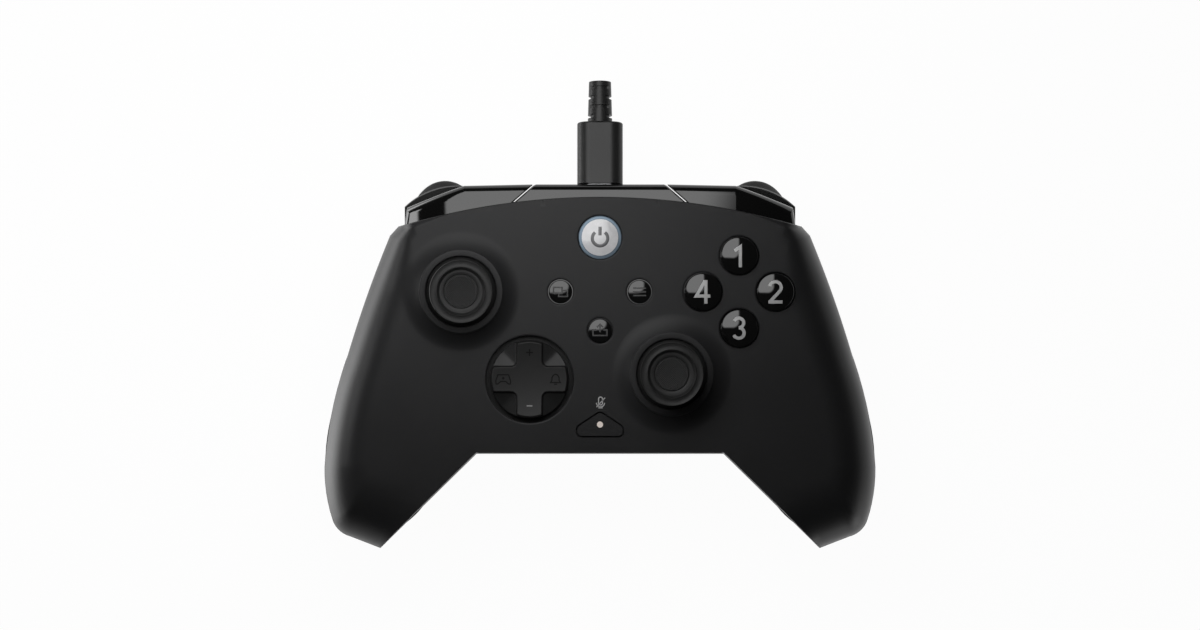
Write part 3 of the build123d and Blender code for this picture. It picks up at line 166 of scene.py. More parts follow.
# World: dim walls near the horizon, darker overhead
worldSet = {"wall": 0.05, "ceiling": 0.03, "wallTop": 0.1, "ceilingFrom": 0.5}
world = bpy.data.worlds.new("studio")
scene.world = world
world.use_nodes = True
world.node_tree.nodes.clear()
add = nodeMaker(world.node_tree)
heading = add("SeparateXYZ", {"Vector": add("TexCoord").outputs["Generated"]})
climb = {"Value": heading.outputs["Z"], "From Min": worldSet["wallTop"], "From Max": worldSet["ceilingFrom"]}
climb.update({"To Min": worldSet["wall"], "To Max": worldSet["ceiling"]})
fade = add("MapRange", climb, interpolation_type="SMOOTHSTEP")
background = add("Background", {"Color": fade.outputs[0], "Strength": 1.0})
add("OutputWorld", {"Surface": background.outputs[0]})

# Floor: pale paper that the camera sees as nearly white, with the object's shadow
floorSet = {"half": 3.0, "colour": (0.92, 0.92, 0.92, 1), "whiteShare": 0.97}
half = floorSet["half"]
floorMesh = bpy.data.meshes.new("floor")
corners = [(-half, -half, 0), (half, -half, 0), (half, half, 0), (-half, half, 0)]
floorMesh.from_pydata(corners, [], [(0, 1, 2, 3)])
floor = bpy.data.objects.new("floor", floorMesh)
scene.collection.objects.link(floor)
floorMaterial = bpy.data.materials.new("floor")
floorMaterial.use_nodes = True
floorMaterial.node_tree.nodes.clear()
add = nodeMaker(floorMaterial.node_tree)
calc = calculator(add)
lightPath = add("LightPath").outputs
seen = calc("MAXIMUM", lightPath["Is Camera Ray"], lightPath["Is Glossy Ray"])
seen = calc("MAXIMUM", seen, lightPath["Is Transmission Ray"])
share = calc("MULTIPLY", seen, floorSet["whiteShare"])
paper = add("BsdfDiffuse", {"Color": floorSet["colour"]})
white = add("Emission", {"Color": (1, 1, 1, 1), "Strength": 1.0})
blend = add("MixShader", {0: share, 1: paper.outputs[0], 2: white.outputs[0]})
add("OutputMaterial", {"Surface": blend.outputs[0]})
floorMesh.materials.append(floorMaterial)
print("stage and lights made")

# Surface effects that several materials share: fine moulded grain with slow smudges
grainSet = {"grainDetail": 2.0, "smudgeDetail": 4.0, "sumLow": 0.6, "sumHigh": 1.4}
grainGroup, add, groupIn, groupOut = newGroup(
    "mouldedGrain",
    {"Grain Size": 0.3, "Smudge Size": 20.0, "Low": 0.4, "High": 0.5},
    ["Height", "Roughness", "Tone"],
)
calc = calculator(add)
place = add("TexCoord").outputs["Object"]
perMetre = calc("DIVIDE", 1 / mm, groupIn["Grain Size"])
noise = {"Vector": place, "Scale": perMetre, "Detail": grainSet["grainDetail"]}
grain = add("TexNoise", noise).outputs["Fac"]
perMetre = calc("DIVIDE", 1 / mm, groupIn["Smudge Size"])
noise = {"Vector": place, "Scale": perMetre, "Detail": grainSet["smudgeDetail"]}
smudge = add("TexNoise", noise).outputs["Fac"]
span = {"Value": calc("ADD", grain, smudge), "From Min": grainSet["sumLow"], "From Max": grainSet["sumHigh"]}
span.update({"To Min": groupIn["Low"], "To Max": groupIn["High"]})
rough = add("MapRange", span).outputs[0]
joinGroup(grainGroup, groupOut, Height=grain, Roughness=rough, Tone=smudge)

# Fine straight lines such as rolling and turning leave on metal: Stretch squeezes the coordinates along
# each axis
brushSet = {"detail": 3.0, "low": 0.3, "high": 0.7}
brushGroup, add, groupIn, groupOut = newGroup(
    "brushedLines",
    {"Stretch": (1.0, 1.0, 1.0), "Line Size": 0.2, "Low": 0.2, "High": 0.4},
    ["Height", "Roughness", "Tone"],
)
calc = calculator(add)
place = vectorCalculator(add)("MULTIPLY", add("TexCoord").outputs["Object"], groupIn["Stretch"])
perMetre = calc("DIVIDE", 1 / mm, groupIn["Line Size"])
noise = {"Vector": place, "Scale": perMetre, "Detail": brushSet["detail"]}
brushed = add("TexNoise", noise).outputs["Fac"]
span = {"Value": brushed, "From Min": brushSet["low"], "From Max": brushSet["high"]}
span.update({"To Min": groupIn["Low"], "To Max": groupIn["High"]})
rough = add("MapRange", span).outputs[0]
joinGroup(brushGroup, groupOut, Height=brushed, Roughness=rough, Tone=brushed)

# Rows of small diamonds set corner to corner, each a low pyramid: the height is the product of two waves
# turned by 45 degrees
diamondGroup, add, groupIn, groupOut = newGroup(
    "diamondDots", {"Place": (0.0, 0.0, 0.0), "Pitch": 0.5}, ["Height"]
)
calc = calculator(add)
parts = add("SeparateXYZ", {"Vector": groupIn["Place"]}).outputs
turn = calc("DIVIDE", math.pi / mm, groupIn["Pitch"])
firstWave = calc("SINE", calc("MULTIPLY", calc("ADD", parts["X"], parts["Y"]), turn))
nextWave = calc("SINE", calc("MULTIPLY", calc("SUBTRACT", parts["X"], parts["Y"]), turn))
dots = calc("MULTIPLY", calc("ABSOLUTE", firstWave), calc("ABSOLUTE", nextWave))
joinGroup(diamondGroup, groupOut, Height=dots)


def newMaterial(name):
    material = bpy.data.materials.new(name)
    material.use_nodes = True
    material.node_tree.nodes.clear()
    return material, nodeMaker(material.node_tree)


def asColour(value):
    # A colour is a socket, three numbers, or one number for a grey
    if isinstance(value, bpy.types.NodeSocket):
        return value
    return (*value, 1) if isinstance(value, tuple) else (value, value, value, 1)


def mixColours(add, amount, dark, pale):
    inputs = {0: amount, 6: asColour(dark), 7: asColour(pale)}
    return add("Mix", inputs, data_type="RGBA").outputs[2]


def patterned(name, group, sizes, dark, pale, depth, inputs, extra=None):
    # The group's pattern gives the colour's share, the roughness, and a relief of depth millimetres
    material, add = newMaterial(name)
    surface = add("Group", sizes, node_tree=group).outputs
    bump = add("Bump", {"Height": surface["Height"], "Distance": depth * mm, "Strength": 1.0})
    if extra:
        bump = extra(add, bump)
    colour = mixColours(add, surface["Tone"], dark, pale)
    values = {"Base Color": colour, "Roughness": surface["Roughness"], "Normal": bump.outputs[0]}
    shader = add("BsdfPrincipled", {**values, **inputs})
    add("OutputMaterial", {"Surface": shader.outputs[0]})
    return material


def plastic(name, dark, pale, rough, grain, depth, specular, smudge=20.0, coat=0.0, extra=None):
    sizes = {"Grain Size": grain, "Smudge Size": smudge, "Low": rough[0], "High": rough[1]}
    inputs = {"Specular IOR Level": specular, "Coat Weight": coat}
    return patterned(name, grainGroup, sizes, dark, pale, depth, inputs, extra)


def metal(name, dark, pale, rough, line, stretch, depth):
    sizes = {"Stretch": stretch, "Line Size": line, "Low": rough[0], "High": rough[1]}
    return patterned(name, brushGroup, sizes, dark, pale, depth, {"Metallic": 1.0})


def fadeIn(add, value, ends):
    # 0 at the first end and 1 at the second, with the ends in millimetres
    span = {"Value": value, "From Min": ends[0] * mm, "From Max": ends[1] * mm, "To Min": 0.0, "To Max": 1.0}
    return add("MapRange", span).outputs[0]


def raised(add, bump, height, depth):
    values = {"Height": height, "Distance": depth * mm, "Strength": 1.0, "Normal": bump.outputs[0]}
    return add("Bump", values)


gripSet = {"pitch": 1.6, "depth": 0.18, "across": (47.0, 51.0), "heights": (22.0, 18.0)}


def gripDots(add, bump):
    # Diamonds low on the outer side of each grip, fading out towards the middle of the back
    calc = calculator(add)
    place = add("TexCoord").outputs["Object"]
    dots = add("Group", {"Place": place, "Pitch": gripSet["pitch"]}, node_tree=diamondGroup)
    spot = add("SeparateXYZ", {"Vector": place}).outputs
    outer = fadeIn(add, calc("ABSOLUTE", spot["X"]), gripSet["across"])
    mask = calc("MULTIPLY", outer, fadeIn(add, spot["Z"], gripSet["heights"]))
    return raised(add, bump, calc("MULTIPLY", mask, dots.outputs["Height"]), gripSet["depth"])


discSet = {"pitch": 0.62, "depth": 0.08, "edge": (4.45, 4.3)}


def discDots(centre):
    # Fine diamonds on the round middle of a stick's cap
    def extra(add, bump):
        vector = vectorCalculator(add)
        middle = (centre[0] * mm, centre[1] * mm, 0)
        flat = vector("SUBTRACT", add("TexCoord").outputs["Object"], middle)
        flat = vector("MULTIPLY", flat, (1, 1, 0))
        dots = add("Group", {"Place": flat, "Pitch": discSet["pitch"]}, node_tree=diamondGroup)
        inside = fadeIn(add, vector("LENGTH", flat), discSet["edge"])
        height = calculator(add)("MULTIPLY", inside, dots.outputs["Height"])
        return raised(add, bump, height, discSet["depth"])

    return extra


boardSet = {
    "runScale": 260.0, "gap": 0.06, "rowHeight": 0.4, "offset": 0.37, "holeScale": 330.0, "holeShare": 0.16,
    "rough": (0.22, 0.34), "depth": 0.03, "dark": (0.008, 0.06, 0.028), "pale": (0.014, 0.1, 0.045),
    "run": (0.03, 0.17, 0.08), "hole": (0.8, 0.62, 0.3),
}


def boardGreen():
    # Solder mask over copper runs, with small bright holes
    values = boardSet
    material, add = newMaterial("boardGreen")
    calc = calculator(add)
    place = add("TexCoord").outputs["Object"]
    bricks = {"Vector": place, "Scale": values["runScale"]}
    bricks.update({"Mortar Size": values["gap"], "Row Height": values["rowHeight"]})
    runs = add("TexBrick", bricks, offset=values["offset"]).outputs["Fac"]
    cells = add("TexVoronoi", {"Vector": place, "Scale": values["holeScale"]})
    holes = calc("LESS_THAN", cells.outputs["Distance"], values["holeShare"])
    rough = {"Low": values["rough"][0], "High": values["rough"][1]}
    surface = add("Group", rough, node_tree=grainGroup).outputs
    green = mixColours(add, surface["Tone"], values["dark"], values["pale"])
    green = mixColours(add, runs, green, values["run"])
    colour = mixColours(add, holes, green, values["hole"])
    height = calc("ADD", runs, calc("MULTIPLY", holes, -1.0))
    bump = add("Bump", {"Height": height, "Distance": values["depth"] * mm, "Strength": 1.0})
    inputs = {"Base Color": colour, "Roughness": surface["Roughness"], "Metallic": holes}
    shader = add("BsdfPrincipled", {**inputs, "Normal": bump.outputs[0]})
    add("OutputMaterial", {"Surface": shader.outputs[0]})
    return material


# Plastics: darkest and palest colour, least and greatest roughness, grain size and depth, specular level
plastics = {
    "casing_black": ((0.0105, 0.0105, 0.011), (0.0135, 0.0135, 0.014), (0.4, 0.46), 0.22, 0.004, 0.19),
    "rear_black": ((0.009, 0.009, 0.0095), (0.012, 0.012, 0.0125), (0.46, 0.58), 0.3, 0.006, 0.2),
    "gloss_black": (0.002, 0.0035, (0.04, 0.09), 0.8, 0.0003, 0.52),
    "trigger_black": (0.005, 0.008, (0.42, 0.5), 0.3, 0.005, 0.1),
    "frame_black": (0.006, 0.01, (0.5, 0.65), 0.4, 0.01, 0.25),
    "pad_black": (0.0095, 0.0125, (0.36, 0.42), 0.22, 0.003, 0.22),
    "stick_rubber": (0.01, 0.014, (0.42, 0.55), 0.2, 0.005, 0.35),
    "dome_rubber": ((0.36, 0.36, 0.35), (0.5, 0.5, 0.48), (0.5, 0.65), 0.4, 0.01, 0.3),
    "light_white": ((0.68, 0.6, 0.54), (0.85, 0.76, 0.7), (0.3, 0.4), 0.2, 0.001, 0.5),
    "chip_black": (0.02, 0.035, (0.4, 0.55), 0.12, 0.004, 0.4),
    "pom_white": ((0.62, 0.61, 0.58), (0.74, 0.73, 0.7), (0.3, 0.42), 0.35, 0.003, 0.5),
    "cord_black": (0.009, 0.014, (0.3, 0.42), 0.3, 0.004, 0.28),
    "lens_pearl": ((0.42, 0.42, 0.43), (0.54, 0.54, 0.55), (0.2, 0.32), 0.2, 0.0006, 0.5),
    "print_white": (0.32, 0.38, (0.3, 0.42), 0.15, 0.001, 0.3),
    # Pale grey: a painted highlight standing for the light caught in the pad's engraved minus slot, not an ink
    "print_grey": (0.2, 0.28, (0.45, 0.6), 0.15, 0.001, 0.3),
    "print_dim": (0.05, 0.07, (0.5, 0.6), 0.15, 0.001, 0.2),
    # Near black: painted shade standing for the shade in the pad's engraved grooves, not an ink
    "print_dark": (0.0015, 0.003, (0.6, 0.7), 0.15, 0.001, 0.1),
    "print_steel": ((0.07, 0.07, 0.075), (0.11, 0.11, 0.115), (0.3, 0.4), 0.15, 0.001, 0.5),
}
plasticExtras = {
    "rear_black": {"extra": gripDots},
    "chip_black": {"smudge": 3.0},
    "lens_pearl": {"smudge": 2.5, "coat": 0.6},
}
# Metals: darkest and palest colour, least and greatest roughness, line size, stretch, and the lines' depth
metals = {
    "steel": ((0.42, 0.42, 0.43), (0.66, 0.66, 0.68), (0.2, 0.38), 0.25, (1.0, 0.05, 1.0), 0.002),
    "module_grey": ((0.36, 0.36, 0.37), (0.52, 0.52, 0.54), (0.28, 0.45), 0.3, (0.06, 1.0, 1.0), 0.002),
    "rim_steel_blue": ((0.07, 0.095, 0.12), (0.11, 0.14, 0.17), (0.3, 0.42), 0.15, (1.0, 1.0, 0.1), 0.001),
}


def camelName(words):
    first, *rest = words.split("_")
    return first + "".join(word.capitalize() for word in rest)


finishes = {"board_green": boardGreen()}
for slotName, values in plastics.items():
    finishes[slotName] = plastic(camelName(slotName), *values, **plasticExtras.get(slotName, {}))
for slotName, values in metals.items():
    finishes[slotName] = metal(camelName(slotName), *values)
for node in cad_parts.values():
    slotName = node.data.materials[0].name.split(".")[0]
    node.data.materials[0] = finishes[slotName]
print("materials made")


# Shape helpers. A shape is its points in millimetres and a list of face tables, each of triangles or of quads
def gridFaces(rows, columns, wrapRows=False, wrapColumns=False):
    index = np.arange(rows * columns).reshape(rows, columns)
    index = np.vstack([index, index[:1]]) if wrapRows else index
    index = np.hstack([index, index[:, :1]]) if wrapColumns else index
    low, high = index[:-1], index[1:]
    return np.stack([low[:, :-1], low[:, 1:], high[:, 1:], high[:, :-1]], -1).reshape(-1, 4)


def joinShapes(shapes):
    faces, start = [], 0
    for points, tables in shapes:
        faces += [table + start for table in tables]
        start += len(points)
    return np.vstack([points for points, _ in shapes]), faces


def addPiece(name, shape, body, slotName, finish=None, stands=(), crease=32):
    points, faces = shape
    corners = np.concatenate([table.ravel() for table in faces])
    sides = np.concatenate([np.full(len(table), table.shape[1]) for table in faces])
    mesh = bpy.data.meshes.new(name)
    mesh.vertices.add(len(points))
    mesh.vertices.foreach_set("co", (points * mm).astype(np.float32).ravel())
    mesh.loops.add(len(corners))
    mesh.loops.foreach_set("vertex_index", corners.astype(np.int32))
    mesh.polygons.add(len(sides))
    mesh.polygons.foreach_set("loop_start", (np.cumsum(sides) - sides).astype(np.int32))
    mesh.update(calc_edges=True)
    mesh.materials.append(finishes[finish or slotName])
    mesh.polygons.foreach_set("use_smooth", np.ones(len(mesh.polygons), bool))
    mesh.set_sharp_from_angle(angle=math.radians(crease))
    piece = bpy.data.objects.new(name, mesh)
    scene.collection.objects.link(piece)
    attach(piece, body)
    if stands:
        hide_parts(*stands)
    return piece


def closedRings(rows, lowPole, highPole):
    # Rings of points joined row by row, with a fan of triangles round a pole at either end
    around = rows.shape[1]
    points = np.vstack([rows.reshape(-1, 3), [lowPole, highPole]])
    column = np.arange(around)
    after = np.roll(column, -1)
    last = (len(rows) - 1) * around
    low = np.stack([column * 0 + len(points) - 2, after, column], -1)
    high = np.stack([last + column, last + after, column * 0 + len(points) - 1], -1)
    return points, [gridFaces(len(rows), around, wrapColumns=True), low, high]


def lathe(profile, centre, around=192):
    # A profile from axis to axis goes once round the upright line through centre: x = r cos a, y = r sin a
    profile = np.asarray(profile, float)
    angle = np.linspace(0, 2 * math.pi, around, endpoint=False)
    radius, height = profile[1:-1].T
    x, y = np.outer(radius, np.cos(angle)), np.outer(radius, np.sin(angle))
    rows = np.stack([x, y, np.outer(height, np.ones(around))], -1) + (*centre, 0)
    return closedRings(rows, (*centre, profile[0, 1]), (*centre, profile[-1, 1]))


def eased(rows, steps=6):
    # Each corner (r, z, ease) is cut off at its ease on both sides, by a curve that the corner pulls outwards
    made = [rows[0][:2]]
    share = np.linspace(0, 1, steps)[:, None]
    for before, corner, after in zip(rows, rows[1:], rows[2:]):
        point, ease = np.array(corner[:2]), corner[2]
        if not ease:
            made.append(corner[:2])
            continue
        back = np.array(before[:2]) - point
        ahead = np.array(after[:2]) - point
        start = point + back / np.linalg.norm(back) * ease
        end = point + ahead / np.linalg.norm(ahead) * ease
        made += ((1 - share) ** 2 * start + 2 * share * (1 - share) * point + share**2 * end).tolist()
    return made + [rows[-1][:2]]


def circle(x, y, radius, angle):
    return np.stack([x + radius * np.cos(angle), y + radius * np.sin(angle)], -1)


def arc(x, y, radius, start, end, steps=24):
    return circle(x, y, radius, np.radians(np.linspace(start, end, steps)))


# A ribbon's columns as shares of its width, their heights as shares of its lift, and how far its ends go on
# down and out
ribbonShares = {"across": (0.5, 0.44, -0.44, -0.5), "height": (-0.5, 1.0, 1.0, -0.5), "drop": 1.5, "out": 0.02}


def ribbon(path, width, surface, lift=0.03, closed=False, step=0.35):
    # A flat stroke carried along a path: its rows are the path's points, its columns lie across the width,
    # the middle columns stand lift above the surface under them and the outer ones sink into it
    path = np.asarray(path, float)
    ends = np.vstack([path[1:], path[:1]]) if closed else path[1:]
    parts = []
    for start, end in zip(path, ends):
        count = max(1, math.ceil(np.linalg.norm(end - start) / step))
        parts.append(start + (end - start) * np.linspace(0, 1, count, endpoint=False)[:, None])
    path = np.vstack(parts if closed else [*parts, path[-1:]])
    ahead = np.roll(path, -1, 0) - path
    if not closed:
        ahead[-1] = ahead[-2]
    ahead /= np.linalg.norm(ahead, axis=1)[:, None]
    behind = np.roll(ahead, 1, 0)
    if not closed:
        behind[0] = ahead[0]
    left = np.stack([-ahead[:, 1], ahead[:, 0]], -1)
    leftBefore = np.stack([-behind[:, 1], behind[:, 0]], -1)
    side = (left + leftBefore) / (1 + np.sum(left * leftBefore, -1))[:, None]
    across = np.array(ribbonShares["across"]) * width
    flat = path[:, None] + side[:, None] * across[None, :, None]
    height = surface(flat[..., 0], flat[..., 1]) + np.array(ribbonShares["height"]) * lift
    if not closed:
        # An open end's row moves out and sinks, and a raised row is put in just behind it
        drop, out = lift * ribbonShares["drop"], width * ribbonShares["out"]
        height[[0, -1]] -= drop
        flat[0] -= ahead[0] * out
        flat[-1] += ahead[-1] * out
        back = ahead[[0, -1], None] * np.array([2 * out, -2 * out])[:, None, None]
        flat = np.insert(flat, [1, len(flat) - 1], flat[[0, -1]] + back, 0)
        height = np.insert(height, [1, len(height) - 1], height[[0, -1]] + drop, 0)
    points = np.concatenate([flat, height[..., None]], -1)
    return points.reshape(-1, 3), [gridFaces(len(points), points.shape[1], wrapRows=closed)]


def capOver(centre, top, radius, crown):
    # Height of a domed button's top: a ball's cap that falls by crown from its middle to its edge
    ball = (radius**2 + crown**2) / crown / 2
    return lambda x, y: top - ball + np.sqrt(ball**2 - (x - centre[0]) ** 2 - (y - centre[1]) ** 2)


def level(height):
    return lambda x, y: x * 0 + height


def moved(path, centre, size=1.0):
    return np.asarray(path, float) * size + centre


def middleOf(node):
    low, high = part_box(node)
    return (low.x + high.x) / 2 / mm, (low.y + high.y) / 2 / mm


# Front shell: one smooth sheet over the casing's outline, with the sticks' mounds and collars and all holes.
# Heights fall over a rounding of width w as 1 - (1 - u^2.2)^0.35, where u goes from 1 at the edge to 0 at w
shellSet = {
    "low": 27.3, "face": 46.0, "wall": 2.0, "plateLow": 44.05, "spread": 2.2, "steep": 0.35, "lip": 0.35,
    "collar": 11.85, "collarTop": 48.4, "collarEdge": 0.004, "bore": 9.95, "soft": 0.25, "mound": 17.0,
    "moundRise": 1.7, "moundPower": 1.8, "pivotZ": 36.5, "domeRoom": 14.85, "outlineStep": 0.8, "inset": 0.1,
    "fine": 0.25, "bevelSlope": 0.5, "thinnest": 0.05,
}
sticks = {"left": (-39.1, 6.4), "right": (20.2, -16.8)}
roundHoles = [
    (-19.8, -18.3, 12.25), (39.1, 16.5, 5.47), (28.9, 6.3, 5.47), (49.3, 6.3, 5.47), (39.1, -3.9, 5.47),
    (-11.1, 6.3, 3.52), (11.1, 6.3, 3.52), (0, -4.6, 3.52), (0, 21.6, 6.09),
]

# Right half of the outline. The top edge is an arc that has come down by fall at half, and goes on to endX.
# Each further run has the point that its arc goes through, or None where it is straight, and its end. Then
# come shares of the run, the rounding's width at each of them, and whether the run is a plate edge
fine = shellSet["fine"]
topEdge = {"y": 33.1, "half": 54.8, "fall": 7.8, "endX": 56.7, "count": 74}
topRounding = ((0, 0.7, 1), (fine, fine, 2.2), True)
outlineRuns = [
    (None, (59.1, 22.1), (0, 1), (5, 7), False),
    ((65.9, 4.3), (71.4, -12.9), (0, 0.4, 1), (7, 12, 12), False),
    ((75.6, -28.7), (77.4, -43.0), (0, 1), (12, 12), False),
    ((76.9, -50.4), (75.2, -57.6), (0, 1), (12, 15), False),
    ((73.4, -60.6), (70.2, -62.4), (0, 1), (15, 19), False),
    (None, (61.7, -65.7), (0, 1), (19, 19), False),
    (None, (34.7, -39.2), (0, 1), (fine, fine), False),
    (None, (0, -39.2), (0, 1), (fine, fine), True),
]


def arcThrough(first, middle, last, step):
    # The circle through three points, from the first to the last by way of the middle one
    a, b, c = (complex(*point) for point in (first, middle, last))
    turn = (c - a) / (b - a)
    centre = a - (a - b) * (turn - abs(turn) ** 2) / 2j / turn.imag
    sweep = np.angle((b - centre) / (a - centre)) + np.angle((c - centre) / (b - centre))
    count = math.ceil(abs(sweep * (a - centre)) / step)
    made = centre + (a - centre) * np.exp(1j * np.linspace(0, sweep, count + 1))
    return np.stack([made.real, made.imag], -1)


def straight(first, last, step):
    share = np.linspace(0, 1, math.ceil(math.dist(first, last) / step) + 1)[:, None]
    return np.array(first) * (1 - share) + np.array(last) * share


def casingOutline():
    # Both halves: points, the way inward, the rounding's width at each, and whether it is a plate edge
    step = shellSet["outlineStep"]
    half, fall = topEdge["half"], topEdge["fall"]
    radius = (half**2 + fall**2) / fall / 2
    turn = np.linspace(0, math.asin(topEdge["endX"] / radius), topEdge["count"])
    top = np.stack([radius * np.sin(turn), topEdge["y"] - radius * (1 - np.cos(turn))], -1)
    rows = [(top, *topRounding)]
    start = top[-1]
    for through, end, *rounding in outlineRuns:
        run = arcThrough(start, through, end, step) if through else straight(start, end, step)
        rows.append((run, *rounding))
        start = end
    points = np.vstack([row[0][:-1] for row in rows])
    shares = [np.linspace(0, 1, len(row[0]))[:-1] for row in rows]
    widths = np.concatenate([np.interp(share, row[1], row[2]) for share, row in zip(shares, rows)])
    plate = np.concatenate([np.full(len(share), row[3]) for share, row in zip(shares, rows)])
    mirrored = points[:0:-1] * (-1, 1)
    points = np.vstack([points, [start], mirrored])
    widths = np.concatenate([widths, [fine], widths[:0:-1]])
    plate = np.concatenate([plate, [True], plate[:0:-1]])
    along = np.roll(points, -1, 0) - np.roll(points, 1, 0)
    along /= np.linalg.norm(along, axis=1)[:, None]
    inward = np.stack([along[:, 1], -along[:, 0]], -1)
    return points + inward * shellSet["inset"], inward, widths, plate


outline, outlineInward, edgeWidths, plateEdge = casingOutline()


def segmentFoot(place, loop):
    # For every place and every side of the loop: distance, and how far along the side its nearest point lies
    side = np.roll(loop, -1, 0) - loop
    offset = place[:, None] - loop[None]
    share = np.clip(np.sum(offset * side, -1) / np.sum(side**2, -1), 0, 1)
    return np.linalg.norm(offset - side * share[..., None], axis=-1), share


def edgeFeet(place):
    # Nearest outline point, measured in widths of the rounding there: its distance, the width, the way inward,
    # whether it is a plate edge, the distance and width of the nearest plate edge, and the measure to the
    # full wall. A part of the places at a time keeps the tables small
    made = []
    chunk, far = 2000, 1e6
    plateSide = plateEdge & np.roll(plateEdge, -1)
    for part in np.array_split(place, max(1, len(place) // chunk)):
        distance, share = segmentFoot(part, outline)
        width = edgeWidths + (np.roll(edgeWidths, -1) - edgeWidths) * share
        measure = distance / width
        best = np.argmin(measure, 1)
        row = np.arange(len(part))
        after = (best + 1) % len(outline)
        blendShare = share[row, best][:, None]
        way = outlineInward[best] * (1 - blendShare) + outlineInward[after] * blendShare
        plateBest = np.argmin(np.where(plateSide, measure, far), 1)
        freeMeasure = np.where(plateSide, far, measure).min(1)
        nearest = [distance[row, best], width[row, best], way, plateSide[best]]
        made.append(np.column_stack([*nearest, distance[row, plateBest], width[row, plateBest], freeMeasure]))
    return np.vstack(made)


def inLoop(place, loop):
    # Even and odd crossings of the loop's sides by the line to the right of each place
    x, y = place[:, 0, None], place[:, 1, None]
    after = np.roll(loop, -1, 0)
    spans = (loop[:, 1] > y) != (after[:, 1] > y)
    rise = np.where(after[:, 1] == loop[:, 1], 1.0, after[:, 1] - loop[:, 1])
    cross = loop[:, 0] + (y - loop[:, 1]) * (after[:, 0] - loop[:, 0]) / rise
    return np.sum(spans & (x < cross), 1) % 2 == 1


def roundCorners(corners, radius, grow, steps=10):
    # Each corner becomes an arc, and the loop is then moved out by grow
    corners = np.asarray(corners, float)
    made = []
    for before, corner, after in zip(np.roll(corners, 1, 0), corners, np.roll(corners, -1, 0)):
        back = (before - corner) / math.dist(before, corner)
        ahead = (after - corner) / math.dist(after, corner)
        half = math.acos(np.dot(back, ahead)) / 2
        middle = corner + (back + ahead) / np.linalg.norm(back + ahead) * radius / math.sin(half)
        start = corner + back * radius / math.tan(half) - middle
        end = corner + ahead * radius / math.tan(half) - middle
        first = math.atan2(start[1], start[0])
        sweep = (math.atan2(end[1], end[0]) - first + math.pi) % (2 * math.pi) - math.pi
        angle = first + np.linspace(0, sweep, steps)
        made.append(circle(*middle, radius + grow, angle))
    return np.vstack(made)


micHoleSet = {"corner": 1.2, "gap": 0.4, "around": (0, -31, 8.2)}
micCorners = [(-6.35, -34.2), (6.35, -34.2), (6.35, -31.7), (0, -27.5), (-6.35, -31.7)]
micHole = roundCorners(micCorners, micHoleSet["corner"], micHoleSet["gap"])


def shellHeights(place):
    # Outer and inner height of the shell over each place, and the place of the inner point
    values = shellSet
    distance, width, wayX, wayY, plate, plateNear, plateWidth, freeMeasure = edgeFeet(place).T
    free = plate < 0.5

    def fall(share):
        return 1 - (1 - np.clip(1 - share, 0, 1) ** values["spread"]) ** values["steep"]

    outer = values["face"] - (values["face"] - values["low"]) * fall(freeMeasure)
    lip = fall(plateNear / values["fine"]) * (values["face"] - values["plateLow"])
    bevel = np.maximum(plateWidth - values["fine"] - plateNear, 0) * values["bevelSlope"]
    outer = np.maximum(outer - np.minimum(lip + bevel, values["face"] - values["plateLow"]), values["low"])
    reach = values["wall"] + width
    shift = np.where(free, values["wall"] * np.clip(1 - distance / reach, 0, 1), 0)
    depth = np.where(free, (distance + shift - values["wall"]) / width, freeMeasure)
    innerFace = values["face"] - values["wall"]
    least = np.where(free, 0, values["thinnest"])
    inner = np.minimum(innerFace - (innerFace - values["low"]) * fall(depth), outer - least)
    for centre in sticks.values():
        away = np.linalg.norm(place - centre, axis=1)
        climb = np.clip((values["mound"] - away) / (values["mound"] - values["collar"]), 0, 1)
        mound = climb ** values["moundPower"] * values["moundRise"]
        out = values["collar"] - away
        near = np.clip(np.minimum(out, away - values["bore"]) / values["soft"], 0, 1)
        collar = values["collarTop"] - values["soft"] * (1 - np.sqrt(1 - (1 - near) ** 2))
        outer = np.where(out >= values["collarEdge"], collar, outer + mound)
        room = values["pivotZ"] + np.sqrt(np.clip(values["domeRoom"] ** 2 - away**2, 0, None))
        lifted = inner + np.where(out >= 0, values["moundRise"], mound)
        under = np.maximum(lifted, np.where(away < values["domeRoom"], room, 0))
        inner = np.where(away < values["mound"], under, inner)
    for x, y, radius in roundHoles:
        rim = values["lip"] - np.clip(np.linalg.norm(place - (x, y), axis=1) - radius, 0, values["lip"])
        outer -= values["lip"] - np.sqrt(values["lip"] ** 2 - rim**2)
    return outer, inner, place + np.column_stack([wayX, wayY]) * shift[:, None]


def ring(centre, radius, count=128):
    return circle(*centre, radius, np.linspace(0, 2 * math.pi, count, endpoint=False))


# Points of the sheet: loose rings along each edge, as shares of the rounding, of a collar's soft edge and of a
# hole's lip, and a grid of staggered rows on the rest. It keeps clear of the rings
sheetSet = {
    "edgeShares": (0.003, 0.01, 0.025, 0.05, 0.09, 0.14, 0.2, 0.28, 0.37, 0.47, 0.58, 0.7, 0.83, 0.97, 1.1),
    "boreShares": (0.15, 0.4, 0.7, 1), "collarShares": (1, 0.7, 0.4, 0.15, 0.02),
    "lipShares": (0.08, 0.25, 0.5, 1, 2), "trueShare": 0.985, "apart": 0.0005, "moundGap": 0.3,
    "moundRings": 13, "moundClear": 0.4, "lipClearShare": 2.4, "largeHole": 9, "largeCount": 128, "count": 96,
    "micGap": 0.8, "gridClear": 0.5, "gridShare": 1.12, "gridStep": 2.0, "gridX": (-78, 78),
    "gridY": (-66, 34), "merge": 1e-4, "holeShare": 0.9995,
}


